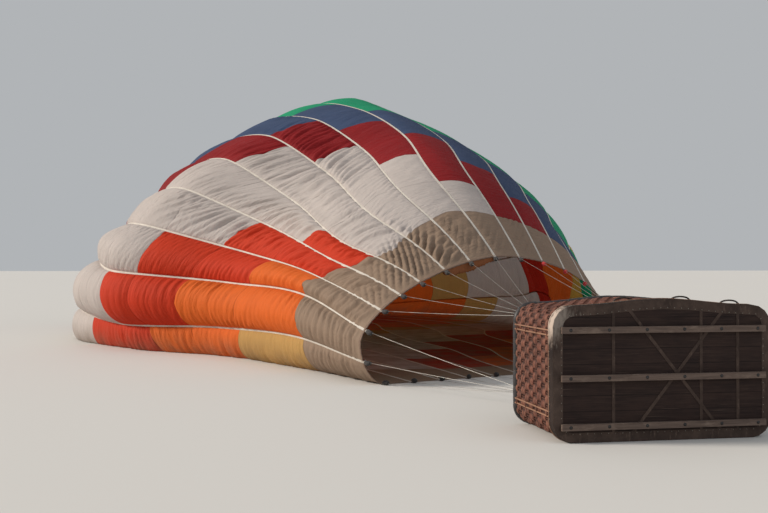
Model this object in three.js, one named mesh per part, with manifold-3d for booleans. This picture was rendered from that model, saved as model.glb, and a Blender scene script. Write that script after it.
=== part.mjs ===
// A hot air balloon on the ground, its envelope half filled with cold air.
// The basket lies on one long side with its floor towards -Y, the burner stands between
// the basket and the mouth, and the envelope reaches away along +Y.
// Sizes are millimetres, +Z is up and the ground is z = 0.

import * as THREE from 'three';
import { mergeVertices } from 'three/addons/utils/BufferGeometryUtils.js';
import Module from 'manifold-3d';

const wasm = await Module();
wasm.setup();

const AXIS_X = new THREE.Vector3(1, 0, 0);
const AXIS_Y = new THREE.Vector3(0, 1, 0);
const AXIS_Z = new THREE.Vector3(0, 0, 1);

// Running clearance between pieces that touch
const GAP = 0.3;

// Points nearer than this are one point
const WELD = 1e-3;

// Envelope
const GORE_COUNT = 24;
const SHELL = 10;
const TAPE_WIDTH = 44;
const HEM_WIDTH = 40;
const HEM_GAP = 1;
const BAND_PROUD = 2;
const BAND_THICKNESS = SHELL + 2 * BAND_PROUD;
const MOUTH_CENTRE = { x: 140, y: 5690 };
const HEADING = THREE.MathUtils.degToRad(4.5);
const LAST_ARCH_TAPE = 16;
const ARCH_STEPS = 240;
const STATION_COUNT = 14;
const ARCH_GORE_STEPS = 3;
const FLAT_GORE_STEPS = 1;

// One row for each cross-section of the envelope, from the mouth to the top opening:
// along is the distance from the mouth, near and far are the half widths towards -X and +X,
// height is the ridge, waist is the height of the widest point, skew is how far the section
// leans along the axis for each unit of width, nearDroop and farDroop are 1 for a round
// shoulder and more for a flatter one, firstTape is the tape number at the near foot, spread
// is the share of their width that the folded gores show, and lobe is how far the cloth
// swells out between two tapes on the near side.
const SECTION_COLUMNS = [
  'along', 'near', 'far', 'height', 'waist', 'skew', 'nearDroop', 'farDroop', 'firstTape', 'spread', 'lobe',
];
const SECTIONS = [
  [0, 2350, 2200, 1810, 600, 0.32, 1.3, 1.0, -0.18, 0.81, 0],
  [2000, 2800, 2750, 3160, 800, 0.26, 1.3, 1.05, -0.17, 0.51, 110],
  [4500, 3760, 3800, 4200, 940, 0.09, 1.48, 1.19, 0, 0.76, 170],
  [7500, 5620, 4970, 5160, 1430, 0.2, 1.34, 1.35, 0.14, 0.99, 240],
  [10500, 6350, 5540, 5780, 640, 0.09, 1.33, 1.43, 0.23, 0.81, 280],
  [13500, 5560, 5730, 5270, 1150, 0, 1.8, 1.2, 0.66, 0.96, 280],
  [16500, 4400, 4800, 4100, 1000, 0, 1.3, 1.2, 0.40, 0.96, 200],
  [19500, 2400, 2600, 2000, 600, 0, 1.1, 1.1, 0.10, 0.95, 60],
].map((row) => Object.fromEntries(row.map((value, column) => [SECTION_COLUMNS[column], value])));
const TOP_ALONG = 19500;

// The widest point stands this share of its height out from the foot of the cloth
const FOOT_SHARE = 0.7;

// The folded gores of the near side lie between tape 2 and tape 5
const FIRST_FOLDED_TAPE = 2;
const FOLDED_GORES = 3;

// The upper and far gores are pulled flatter than the low near ones
const FLAT_LOBE = 0.35;
const FULL_LOBE_TAPE = 2;
const FLAT_LOBE_TAPE = 4.5;

// Top opening, closed from inside by the parachute valve
const APEX_LATERAL = 100;
const APEX_HEIGHT = 850;
const APEX_RISE = 500;
const CAP_SHARES = [0.06, 0.33, 0.62];
const CAP_STEP = { share: 0.01, tape: 0.1 };
const CROWN_BAND_RADIUS = 230;
const CROWN_BAND_WIDTH = 20;
const CROWN_RING = { bar: 8, barSides: 6, sides: 48, sink: 8 };
const VALVE_CLEAR = 4;

// Basket, lying on its side: plan width along X, plan depth along Z, height along Y
const BASKET_HALF_WIDTH = 1100;
const BASKET_HALF_DEPTH = 635;
const BASKET_CORNER = 200;
const BASKET_BOW = 60;
const BASKET_AXIS_Z = BASKET_HALF_DEPTH;
const WALL_INSET = 8;
const WALL_THICKNESS = 35;
const WALL_SLIT = 0.25;
const WALL_TOP = 1135;
const FLOOR_THICKNESS = 20;
const RIM_RADIUS = 45;
const RIM_SIDES = 12;
const RIM_Y = WALL_TOP + RIM_RADIUS + GAP;
const HIDE_WIDTH = 110;
const HIDE_UNDER = 95;
const RUNNER = { length: 2050, width: 60, depth: 40 };
const RUNNER_HEIGHTS = [150, 600, 1045];
const STRAP = { thickness: 4, width: 30, fromEdge: 2 };
const UPRIGHT_STRAPS = [-506, 376, 753];
const CROSS_STRAPS = { x: 130, reach: 500 };
const PARTITION_X = -350;
const PARTITION_TOP = 1000;
const CORNER_STEPS = 4;
const SIDE_STEPS = 6;

// Fuel cylinders, one in each corner of the basket
const CYLINDER = { radius: 145, height: 900, x: 895, offset: 400, sides: 14 };
const CYLINDER_FOOT = { height: 60, share: 0.9 };
const CYLINDER_COLLAR = { shoulder: 170, foot: 90, outer: 0.6, inner: 0.5, depth: 80 };
const CYLINDER_BAND = { at: 560, width: 50, thickness: 4, tab: 60 };

// Load frame, gimbal and burner
const FRAME_Y = 2030;
const FRAME = { halfWidth: 520, halfDepth: 425, tube: 40 };
const LUG = 60;
const BOSS = { reach: 34, width: 56, overlap: 2 };
const PIN_RADIUS = 12;
const PIN_SIDES = 16;
const PIN_ROOT = 5;
const BORE_RADIUS = (PIN_RADIUS + GAP) / Math.cos(Math.PI / PIN_SIDES);
const BORE_PAST = 10;
const GIMBAL = { halfWidth: 430, halfDepth: 330, tube: 30 };
const BURNER_Y = FRAME_Y + FRAME.tube / 2;
const BURNER_BLOCK = { halfWidth: 235, halfDepth: 60, below: 100, above: 20 };
const CAN = { radius: 118, length: 320, wall: 6, spacing: 125, base: 24, sides: 20 };
const UPRIGHT = { footX: 700, footZ: 592, footRadius: 24, topRadius: 20, sides: 10 };

// Flying wires
const WIRE_RADIUS = 2.5;
const WIRES_PER_CORNER = 6;
const WIRE_SIDES = 5;
const KARABINER = { length: 90, radius: 6, tip: 1.5, clear: 1.4 };
const SHACKLE = { length: 84, depth: 24, pitch: 13 };
// First tape of the six that run to each corner of the load frame: side towards +X, side up
const WIRE_CORNERS = [
  { name: 'near_low', sideX: -1, sideZ: -1, firstTape: 21 },
  { name: 'near_high', sideX: -1, sideZ: 1, firstTape: 3 },
  { name: 'far_high', sideX: 1, sideZ: 1, firstTape: 9 },
  { name: 'far_low', sideX: 1, sideZ: -1, firstTape: 15 },
];

// Rope handles on the upper wall: middle of each loop along X
const HANDLE_PLACES = [-330, 250, 760];
const HANDLE = { span: 190, rise: 50, radius: 9, y: 170, steps: 8, sides: 8 };

const COLOURS = {
  crimson: 0xa82a2e,
  red: 0xc04a32,
  orange: 0xd4753c,
  cream: 0xc9bdb0,
  slate: 0x56708f,
  green: 0x3f9a74,
  tape: 0xd8cfc2,
  wicker: 0xa8684a,
  leather: 0x2b2526,
  hide: 0x4a3c33,
  wood: 0x6b5a4c,
  board: 0x3b2f2c,
  steel: 0xa9adb0,
  brushed: 0xc3c6c8,
  rope: 0x3a3230,
  cylinder: 0x9aa3a8,
};

// Main colour of each gore, in order round the envelope and then once more
const GORE_COLOURS = [
  'orange', 'orange', 'red', 'red', 'cream', 'cream',
  'cream', 'crimson', 'crimson', 'slate', 'slate', 'green',
];

const ROUGHNESS = { cloth: 0.85, metal: 0.4, leather: 0.7, wood: 0.8 };
const METALNESS = 0.9;

function material(colour, roughness, metalness = 0) {
  return new THREE.MeshStandardMaterial({ color: colour, roughness, metalness });
}

function cloth(colour) {
  return material(colour, ROUGHNESS.cloth);
}

function metal(colour) {
  return material(colour, ROUGHNESS.metal, METALNESS);
}

const balloon = new THREE.Group();

function add(name, geometry, meshMaterial, parent = balloon) {
  const mesh = new THREE.Mesh(geometry, meshMaterial);
  mesh.name = name;
  parent.add(mesh);
  return mesh;
}

// Geometry from points and triangles, merged, without empty triangles and turned outwards
function closedGeometry(points, triangles) {
  const positions = new Float32Array(points.length * 3);
  points.forEach((point, index) => point.toArray(positions, index * 3));
  const loose = new THREE.BufferGeometry();
  loose.setAttribute('position', new THREE.BufferAttribute(positions, 3));
  loose.setIndex(triangles.flat());
  const merged = mergeVertices(loose, WELD);
  const source = merged.index.array;
  const kept = [];
  for (let i = 0; i < source.length; i += 3) {
    const [a, b, c] = [source[i], source[i + 1], source[i + 2]];
    if (a !== b && b !== c && c !== a) kept.push(a, b, c);
  }
  merged.setIndex(kept);
  if (signedVolume(merged) < 0) {
    for (let i = 0; i < kept.length; i += 3) {
      [kept[i + 1], kept[i + 2]] = [kept[i + 2], kept[i + 1]];
    }
    merged.setIndex(kept);
  }
  return merged;
}

function signedVolume(geometry) {
  const position = geometry.attributes.position;
  const index = geometry.index.array;
  const [a, b, c] = [new THREE.Vector3(), new THREE.Vector3(), new THREE.Vector3()];
  let volume = 0;
  for (let i = 0; i < index.length; i += 3) {
    a.fromBufferAttribute(position, index[i]);
    b.fromBufferAttribute(position, index[i + 1]);
    c.fromBufferAttribute(position, index[i + 2]);
    volume += a.dot(b.cross(c)) / 6;
  }
  return volume;
}

// Solid between two grids of points that have the same rows and columns
function shellGeometry(outer, inner) {
  const rows = outer.length;
  const columns = outer[0].length;
  const points = [...outer.flat(), ...inner.flat()];
  const offset = rows * columns;
  const at = (row, column) => row * columns + column;
  const triangles = [];
  const quad = (a, b, c, d) => triangles.push([a, b, c], [a, c, d]);
  for (let r = 0; r < rows - 1; r += 1) {
    for (let k = 0; k < columns - 1; k += 1) {
      quad(at(r, k), at(r, k + 1), at(r + 1, k + 1), at(r + 1, k));
      quad(offset + at(r, k), offset + at(r + 1, k), offset + at(r + 1, k + 1), offset + at(r, k + 1));
    }
    quad(at(r, 0), at(r + 1, 0), offset + at(r + 1, 0), offset + at(r, 0));
    const k = columns - 1;
    quad(at(r, k), offset + at(r, k), offset + at(r + 1, k), at(r + 1, k));
  }
  for (let k = 0; k < columns - 1; k += 1) {
    quad(at(0, k), offset + at(0, k), offset + at(0, k + 1), at(0, k + 1));
    const r = rows - 1;
    quad(at(r, k), at(r, k + 1), offset + at(r, k + 1), offset + at(r, k));
  }
  return closedGeometry(points, triangles);
}

// Ring through closed sections, joined from the last section back to the first
function ringGeometry(sections) {
  const count = sections[0].length;
  const points = sections.flat();
  const triangles = [];
  for (let s = 0; s < sections.length; s += 1) {
    const next = (s + 1) % sections.length;
    for (let k = 0; k < count; k += 1) {
      const side = (k + 1) % count;
      const [a, b] = [s * count + k, s * count + side];
      const [c, d] = [next * count + side, next * count + k];
      triangles.push([a, b, c], [a, c, d]);
    }
  }
  return closedGeometry(points, triangles);
}

function toManifold(geometry) {
  const bare = geometry.clone();
  bare.deleteAttribute('normal');
  bare.deleteAttribute('uv');
  const merged = mergeVertices(bare, WELD);
  return new wasm.Manifold(new wasm.Mesh({
    numProp: 3,
    vertProperties: new Float32Array(merged.attributes.position.array),
    triVerts: new Uint32Array(merged.index.array),
  }));
}

function fromManifold(solid) {
  const mesh = solid.getMesh();
  const geometry = new THREE.BufferGeometry();
  geometry.setAttribute('position', new THREE.BufferAttribute(new Float32Array(mesh.vertProperties), 3));
  geometry.setIndex(Array.from(mesh.triVerts));
  return geometry;
}

function join(geometries) {
  const solids = geometries.map(toManifold);
  return fromManifold(solids.slice(1).reduce((whole, solid) => whole.add(solid), solids[0]));
}

function cut(geometry, tools) {
  const whole = toManifold(geometry);
  return fromManifold(tools.map(toManifold).reduce((rest, tool) => rest.subtract(tool), whole));
}

function box(sizeX, sizeY, sizeZ, x, y, z) {
  return new THREE.BoxGeometry(sizeX, sizeY, sizeZ).translate(x, y, z);
}

// Round bar or cone between two points
function bar(from, to, radiusFrom, radiusTo, sides) {
  const direction = to.clone().sub(from);
  const length = direction.length();
  const geometry = new THREE.CylinderGeometry(radiusTo, radiusFrom, length, sides);
  const turn = new THREE.Quaternion().setFromUnitVectors(AXIS_Y, direction.normalize());
  geometry.applyQuaternion(turn);
  const middle = from.clone().add(to).multiplyScalar(0.5);
  return geometry.translate(middle.x, middle.y, middle.z);
}

// Value of one column of the section table, smooth and without overshoot
function sectionValue(column, along) {
  const rows = SECTIONS;
  const last = rows.length - 1;
  let k = 0;
  while (k < last - 1 && along > rows[k + 1].along) k += 1;
  const slope = (i) => (rows[i + 1][column] - rows[i][column]) / (rows[i + 1].along - rows[i].along);
  const tangent = (i) => {
    if (i === 0) return slope(0);
    if (i === last) return slope(last - 1);
    const [before, after] = [slope(i - 1), slope(i)];
    return before * after <= 0 ? 0 : (2 * before * after) / (before + after);
  };
  const span = rows[k + 1].along - rows[k].along;
  const q = (along - rows[k].along) / span;
  const [q2, q3] = [q * q, q * q * q];
  return (2 * q3 - 3 * q2 + 1) * rows[k][column]
    + (q3 - 2 * q2 + q) * span * tangent(k)
    + (3 * q2 - 2 * q3) * rows[k + 1][column]
    + (q3 - q2) * span * tangent(k + 1);
}

// Arch of one cross-section from the near foot over the ridge to the far foot
function buildArch(along) {
  const value = (column) => sectionValue(column, along);
  const [near, far, height, waist] = ['near', 'far', 'height', 'waist'].map(value);
  const [nearDroop, farDroop] = ['nearDroop', 'farDroop'].map(value);
  const foot = FOOT_SHARE * waist;
  const points = [];
  for (let i = 0; i <= ARCH_STEPS; i += 1) {
    const angle = -Math.PI / 2 + (2 * Math.PI * i) / ARCH_STEPS;
    const onNear = i <= ARCH_STEPS / 2;
    const width = onNear ? near : far;
    const droop = onNear ? nearDroop : farDroop;
    const side = onNear ? -1 : 1;
    const [c, s] = [Math.abs(Math.cos(angle)), Math.sin(angle)];
    const high = s >= 0;
    const lateral = high ? width * c ** droop : width - foot + foot * c;
    const z = high ? waist + (height - waist) * s ** droop : waist + waist * s;
    points.push({ lateral: side * lateral, z: Math.max(0, z) });
  }
  const lengths = [0];
  for (let i = 1; i < points.length; i += 1) {
    const step = Math.hypot(points[i].lateral - points[i - 1].lateral, points[i].z - points[i - 1].z);
    lengths.push(lengths[i - 1] + step);
  }
  const [skew, firstTape, spread, lobe] = ['skew', 'firstTape', 'spread', 'lobe'].map(value);
  return { points, lengths, skew, firstTape, spread, lobe };
}

const archCache = new Map();

function archAt(along) {
  if (!archCache.has(along)) archCache.set(along, buildArch(along));
  return archCache.get(along);
}

// Width of cloth up to tape u, in gores, where the folded ones show the given share
function clothUpTo(u, spread) {
  const folded = THREE.MathUtils.clamp(u - FIRST_FOLDED_TAPE, 0, FOLDED_GORES);
  return u - (1 - spread) * folded;
}

// Point of the smooth envelope at tape number u and distance along the axis
function envelopePoint(u, along) {
  const arch = archAt(along);
  const { points, lengths, skew, firstTape, spread } = arch;
  const tape = firstTape + THREE.MathUtils.euclideanModulo(u - firstTape, GORE_COUNT);
  let lateral;
  let z;
  if (tape <= LAST_ARCH_TAPE) {
    const first = clothUpTo(firstTape, spread);
    const share = (clothUpTo(tape, spread) - first) / (clothUpTo(LAST_ARCH_TAPE, spread) - first);
    const target = share * lengths[lengths.length - 1];
    let i = 1;
    while (i < lengths.length - 1 && lengths[i] < target) i += 1;
    const q = (target - lengths[i - 1]) / (lengths[i] - lengths[i - 1] || 1);
    lateral = THREE.MathUtils.lerp(points[i - 1].lateral, points[i].lateral, q);
    z = THREE.MathUtils.lerp(points[i - 1].z, points[i].z, q);
  } else {
    const share = (tape - LAST_ARCH_TAPE) / (GORE_COUNT + firstTape - LAST_ARCH_TAPE);
    lateral = THREE.MathUtils.lerp(points[points.length - 1].lateral, points[0].lateral, share);
    z = 0;
  }
  return placeOnAxis(lateral, along + skew * lateral, z);
}

// From sideways and along the envelope's own axis to X and Y
function placeOnAxis(lateral, along, z) {
  return new THREE.Vector3(
    MOUTH_CENTRE.x + lateral * Math.cos(HEADING) - along * Math.sin(HEADING),
    MOUTH_CENTRE.y + lateral * Math.sin(HEADING) + along * Math.cos(HEADING),
    z,
  );
}

const ENVELOPE_AXIS = new THREE.Vector3(-Math.sin(HEADING), Math.cos(HEADING), 0);

// Steps over which directions on the envelope are measured, in tapes and along it
const TAPE_STEP = 0.02;
const ALONG_STEP = 20;

// Point, direction across the tapes and outward normal of the smooth envelope
function envelopeFrame(u, along) {
  const point = envelopePoint(u, along);
  const across = envelopePoint(u + TAPE_STEP, along).sub(envelopePoint(u - TAPE_STEP, along)).normalize();
  const low = Math.max(0, along - ALONG_STEP);
  const high = Math.min(TOP_ALONG, along + ALONG_STEP);
  const lengthwise = envelopePoint(u, high).sub(envelopePoint(u, low)).normalize();
  const normal = across.clone().cross(lengthwise).normalize();
  if (point.z < 1) {
    across.z = 0;
    across.normalize();
    normal.set(0, 0, -1);
  }
  return { point, across, normal };
}

function offsetPoint(frame, acrossBy, outwardBy) {
  return frame.point.clone().addScaledVector(frame.across, acrossBy).addScaledVector(frame.normal, outwardBy);
}

// How far the cloth swells out at a place between two tapes
function lobeHeight(u, along) {
  const gore = Math.floor(u);
  if (gore >= LAST_ARCH_TAPE) return 0;
  const between = u - gore;
  const flat = THREE.MathUtils.smoothstep(u, FULL_LOBE_TAPE, FLAT_LOBE_TAPE);
  const side = THREE.MathUtils.lerp(1, FLAT_LOBE, flat);
  return archAt(along).lobe * side * 4 * between * (1 - between);
}

const stations = Array.from({ length: STATION_COUNT }, (_, i) => (TOP_ALONG * i) / (STATION_COUNT - 1));

// Outer point of the cloth, kept above the ground, and the inner point behind it
function clothPair(frame, acrossBy, outwardBy, thickness = SHELL) {
  const outer = offsetPoint(frame, acrossBy, outwardBy);
  outer.z = Math.max(0, outer.z);
  return { outer, inner: outer.clone().addScaledVector(frame.normal, -thickness) };
}

// Gores that lie flat on the ground need no steps across, and the last one bends up the near side
function goreSteps(gore) {
  const bends = gore < LAST_ARCH_TAPE || gore === GORE_COUNT - 1;
  return bends ? ARCH_GORE_STEPS : FLAT_GORE_STEPS;
}

// One gore: the cloth panel between two load tapes, from the mouth to the top opening
function goreGeometry(gore) {
  const steps = goreSteps(gore);
  const edge = TAPE_WIDTH / 2 + GAP;
  const outer = [];
  const inner = [];
  for (const along of stations) {
    const outerRow = [];
    const innerRow = [];
    for (let k = 0; k <= steps; k += 1) {
      const u = gore + k / steps;
      const onEdge = k === 0 || k === steps;
      const frame = envelopeFrame(u, along);
      const across = onEdge ? edge * (k === 0 ? 1 : -1) : 0;
      const lobe = onEdge ? 0 : lobeHeight(u, along);
      const pair = clothPair(frame, across, lobe);
      outerRow.push(pair.outer);
      innerRow.push(pair.inner);
    }
    outer.push(outerRow);
    inner.push(innerRow);
  }
  return shellGeometry(outer, inner);
}

// Point of the cap over the top opening: share is 0 at the rim and 1 at the crown
function capPoint(u, share) {
  const rim = envelopePoint(u, TOP_ALONG);
  const apex = placeOnAxis(APEX_LATERAL, TOP_ALONG, APEX_HEIGHT);
  const rise = APEX_RISE * Math.sin((share * Math.PI) / 2);
  return rim.lerp(apex, share).addScaledVector(ENVELOPE_AXIS, rise);
}

// Frame of the cap: across follows its surface from tape to tape
function capFrame(u, share) {
  const point = capPoint(u, share);
  const inward = capPoint(u, share + CAP_STEP.share).sub(capPoint(u, share - CAP_STEP.share)).normalize();
  const across = capPoint(u + CAP_STEP.tape, share).sub(capPoint(u - CAP_STEP.tape, share)).normalize();
  const normal = across.clone().cross(inward).normalize();
  across.copy(inward).cross(normal);
  return { point, across, normal };
}

// Share of the way to the crown at which a tape reaches a radius from it
function shareAtRadius(u, radius) {
  const apex = placeOnAxis(APEX_LATERAL, TOP_ALONG, APEX_HEIGHT);
  return 1 - radius / envelopePoint(u, TOP_ALONG).distanceTo(apex);
}

// Load tape along a gore seam, then over the top opening to the crown band
function tapeGeometry(tape) {
  const outer = [];
  const inner = [];
  const push = (frame) => {
    const pairs = [-TAPE_WIDTH / 2, TAPE_WIDTH / 2].map((across) => clothPair(frame, across, 0));
    outer.push(pairs.map((pair) => pair.outer));
    inner.push(pairs.map((pair) => pair.inner));
  };
  push(hemFrame(tape, HEM_WIDTH / 2));
  stations.forEach((along) => push(envelopeFrame(tape, along)));
  const shares = [...CAP_SHARES, shareAtRadius(tape, CROWN_BAND_RADIUS - CROWN_BAND_WIDTH / 2)];
  shares.forEach((share) => push(capFrame(tape, share)));
  return shellGeometry(outer, inner);
}

// Place on the hem, a little in front of the mouth's edge
function hemFrame(tape, forward) {
  const frame = envelopeFrame(tape, 0);
  const lengthwise = envelopePoint(tape, ALONG_STEP).sub(envelopePoint(tape, 0)).normalize();
  frame.point.addScaledVector(lengthwise, -forward);
  return frame;
}

// Hem around the mouth
function hemGeometry() {
  const sections = [];
  for (let gore = 0; gore < GORE_COUNT; gore += 1) {
    for (let k = 0; k < goreSteps(gore); k += 1) {
      const u = gore + k / goreSteps(gore);
      const front = clothPair(hemFrame(u, HEM_WIDTH), 0, BAND_PROUD, BAND_THICKNESS);
      const back = clothPair(hemFrame(u, HEM_GAP), 0, BAND_PROUD, BAND_THICKNESS);
      sections.push([front.outer, back.outer, back.inner, front.inner]);
    }
  }
  return ringGeometry(sections);
}

// Band where the load tapes meet around the crown ring
function crownBandGeometry() {
  const sections = [];
  for (let tape = 0; tape < GORE_COUNT; tape += 1) {
    const outside = capFrame(tape, shareAtRadius(tape, CROWN_BAND_RADIUS));
    const inside = capFrame(tape, shareAtRadius(tape, CROWN_BAND_RADIUS - CROWN_BAND_WIDTH));
    sections.push([
      offsetPoint(outside, 0, BAND_PROUD),
      offsetPoint(inside, 0, BAND_PROUD),
      offsetPoint(inside, 0, BAND_PROUD - BAND_THICKNESS),
      offsetPoint(outside, 0, BAND_PROUD - BAND_THICKNESS),
    ]);
  }
  return ringGeometry(sections);
}

function addEnvelope() {
  for (let gore = 0; gore < GORE_COUNT; gore += 1) {
    const number = String(gore + 1).padStart(2, '0');
    const colour = COLOURS[GORE_COLOURS[gore % GORE_COLOURS.length]];
    add(`gore_${number}`, goreGeometry(gore), cloth(colour));
  }
  const tapes = Array.from({ length: GORE_COUNT }, (_, tape) => tapeGeometry(tape));
  add('load_tapes', join([hemGeometry(), crownBandGeometry(), ...tapes]), cloth(COLOURS.tape));
}

function addCrownRing() {
  const { bar: radius, barSides, sides, sink } = CROWN_RING;
  const inside = (CROWN_BAND_RADIUS - CROWN_BAND_WIDTH) * Math.cos(Math.PI / GORE_COUNT) - GAP;
  const profile = new THREE.Path().absarc(inside - radius, 0, radius, 0, Math.PI * 2);
  const geometry = new THREE.LatheGeometry(profile.getPoints(barSides / 2), sides);
  const ring = add('crown_ring', geometry, metal(COLOURS.steel));
  ring.position.copy(capPoint(0, 1)).addScaledVector(ENVELOPE_AXIS, -sink);
  ring.quaternion.setFromUnitVectors(AXIS_Y, ENVELOPE_AXIS);
}

// Parachute valve: a cloth disc that closes the top opening from inside
function valveGeometry() {
  const sections = [];
  for (let tape = 0; tape < GORE_COUNT; tape += 1) {
    const outside = [];
    const inside = [];
    const shares = [...CAP_SHARES, shareAtRadius(tape, CROWN_BAND_RADIUS)];
    for (const share of shares) {
      const frame = capFrame(tape, share);
      outside.push(offsetPoint(frame, 0, -SHELL - VALVE_CLEAR));
      inside.push(offsetPoint(frame, 0, -2 * SHELL - VALVE_CLEAR));
    }
    outside.push(capPoint(0, 1).addScaledVector(ENVELOPE_AXIS, -SHELL - VALVE_CLEAR));
    inside.push(capPoint(0, 1).addScaledVector(ENVELOPE_AXIS, -2 * SHELL - VALVE_CLEAR));
    sections.push([...outside, ...inside.reverse()]);
  }
  return ringGeometry(sections);
}

const QUARTER = Math.PI / 2;
const EIGHTH = Math.PI / 4;

// Corner points keep this share of a step from the ends of their arc
const CORNER_APART = 0.1;

// One rounded corner of the basket's plan outline, set in from its outer face
function basketCorner(sideX, sideZ, inset, from, to) {
  const radius = BASKET_CORNER - inset;
  const centreX = sideX * (BASKET_HALF_WIDTH - BASKET_CORNER);
  const centreZ = BASKET_AXIS_Z + sideZ * (BASKET_HALF_DEPTH - BASKET_CORNER);
  const step = QUARTER / CORNER_STEPS;
  const first = Math.ceil(from / step + CORNER_APART);
  const angles = [from];
  for (let k = first; k * step < to - CORNER_APART * step; k += 1) angles.push(k * step);
  angles.push(to);
  return angles.map((angle) => new THREE.Vector2(
    centreX + radius * Math.cos(angle),
    centreZ + radius * Math.sin(angle),
  ));
}

// Upper long side, bowed outwards, from +X to -X
function bowedSide(inset) {
  const reach = BASKET_HALF_WIDTH - BASKET_CORNER;
  const top = BASKET_AXIS_Z + BASKET_HALF_DEPTH - inset;
  const points = [];
  for (let k = 1; k < SIDE_STEPS; k += 1) {
    const x = THREE.MathUtils.lerp(reach, -reach, k / SIDE_STEPS);
    const bow = BASKET_BOW * Math.cos((Math.PI * x) / (2 * reach)) ** 2;
    points.push(new THREE.Vector2(x, top + bow));
  }
  return points;
}

// The four walls meet half way round each corner
function wallPath(side, inset, trim) {
  const corner = (sideX, sideZ, from, to) => basketCorner(sideX, sideZ, inset, from, to);
  const paths = {
    high: () => [
      ...corner(1, 1, EIGHTH + trim, QUARTER),
      ...bowedSide(inset),
      ...corner(-1, 1, QUARTER, 3 * EIGHTH - trim),
    ],
    left: () => [
      ...corner(-1, 1, 3 * EIGHTH + trim, 2 * QUARTER),
      ...corner(-1, -1, 2 * QUARTER, 5 * EIGHTH - trim),
    ],
    low: () => [
      ...corner(-1, -1, 5 * EIGHTH + trim, 3 * QUARTER),
      ...corner(1, -1, 3 * QUARTER, 7 * EIGHTH - trim),
    ],
    right: () => [
      ...corner(1, -1, 7 * EIGHTH + trim, 4 * QUARTER),
      ...corner(1, 1, 0, EIGHTH - trim),
    ],
  };
  return paths[side]();
}

function fullOutline(inset) {
  return [
    ...basketCorner(1, 1, inset, 0, QUARTER),
    ...bowedSide(inset),
    ...basketCorner(-1, 1, inset, QUARTER, 2 * QUARTER),
    ...basketCorner(-1, -1, inset, 2 * QUARTER, 3 * QUARTER),
    ...basketCorner(1, -1, inset, 3 * QUARTER, 4 * QUARTER),
  ];
}

// Plan shape raised along Y from one height to another
function raise(shape, fromY, toY) {
  const geometry = new THREE.ExtrudeGeometry(shape, { depth: toY - fromY, bevelEnabled: false });
  return geometry.rotateX(Math.PI / 2).translate(0, toY, 0);
}

function addBasket() {
  const wicker = material(COLOURS.wicker, ROUGHNESS.wood);
  const hideMaterial = material(COLOURS.hide, ROUGHNESS.leather);
  const innerInset = WALL_INSET + WALL_THICKNESS;
  const trim = WALL_SLIT / (BASKET_CORNER - innerInset);
  for (const side of ['high', 'left', 'low', 'right']) {
    const outer = wallPath(side, WALL_INSET, trim);
    const inner = wallPath(side, innerInset, trim).reverse();
    add(`wall_${side}`, raise(new THREE.Shape([...outer, ...inner]), 0, WALL_TOP), wicker);
  }
  const board = new THREE.Shape(fullOutline(innerInset + GAP));
  add('floor_board', raise(board, 0, FLOOR_THICKNESS), material(COLOURS.board, ROUGHNESS.wood));

  const hide = new THREE.Shape(fullOutline(0));
  hide.holes.push(new THREE.Path(fullOutline(WALL_INSET - GAP)));
  add('base_hide', raise(hide, 0, HIDE_WIDTH), hideMaterial);
  add('rim_roll', rimGeometry(), material(COLOURS.leather, ROUGHNESS.leather));

  RUNNER_HEIGHTS.forEach((height, index) => {
    const y = -GAP * 2 - STRAP.thickness - RUNNER.depth / 2;
    const runner = box(RUNNER.length, RUNNER.depth, RUNNER.width, 0, y, height);
    add(`runner_${index + 1}`, runner, material(COLOURS.wood, ROUGHNESS.wood));
  });
  add('floor_straps', floorStrapGeometry(), hideMaterial);
  add('partition', partitionGeometry(innerInset), wicker);
}

// Padded roll along the top of the walls
function rimGeometry() {
  const path = fullOutline(RIM_RADIUS);
  const last = path.length - 1;
  const apart = path.filter((point, index) => point.distanceTo(path[index === last ? 0 : index + 1]) > 1);
  const radius = RIM_RADIUS / Math.cos(Math.PI / RIM_SIDES);
  const sections = apart.map((point, index) => {
    const before = apart[(index + apart.length - 1) % apart.length];
    const after = apart[(index + 1) % apart.length];
    const along = after.clone().sub(before).normalize();
    return Array.from({ length: RIM_SIDES }, (_, k) => {
      const angle = (2 * Math.PI * (k + 0.5)) / RIM_SIDES;
      const across = radius * Math.cos(angle);
      const y = RIM_Y + radius * Math.sin(angle);
      return new THREE.Vector3(point.x + along.y * across, y, point.y - along.x * across);
    });
  });
  return ringGeometry(sections);
}

// Under the floor: the hide's turned edge, three upright straps and a cross
function floorStrapGeometry() {
  const { thickness, width, fromEdge } = STRAP;
  const y = -GAP - thickness / 2;
  const outline = new THREE.Shape(fullOutline(fromEdge));
  outline.holes.push(new THREE.Path(fullOutline(fromEdge + HIDE_UNDER)));
  const edge = raise(outline, -GAP - thickness, -GAP);
  const height = 2 * (BASKET_HALF_DEPTH - width / 2);
  const uprights = UPRIGHT_STRAPS.map((x) => box(width, thickness, height, x, y, BASKET_AXIS_Z));
  const length = Math.hypot(height, 2 * CROSS_STRAPS.reach) - width;
  const slant = Math.atan2(2 * CROSS_STRAPS.reach, height);
  const diagonals = [slant, -slant].map((angle) => {
    const strap = new THREE.BoxGeometry(width, thickness, length);
    return strap.rotateY(angle).translate(CROSS_STRAPS.x, y, BASKET_AXIS_Z);
  });
  return join([edge, ...uprights, ...diagonals]);
}

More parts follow.
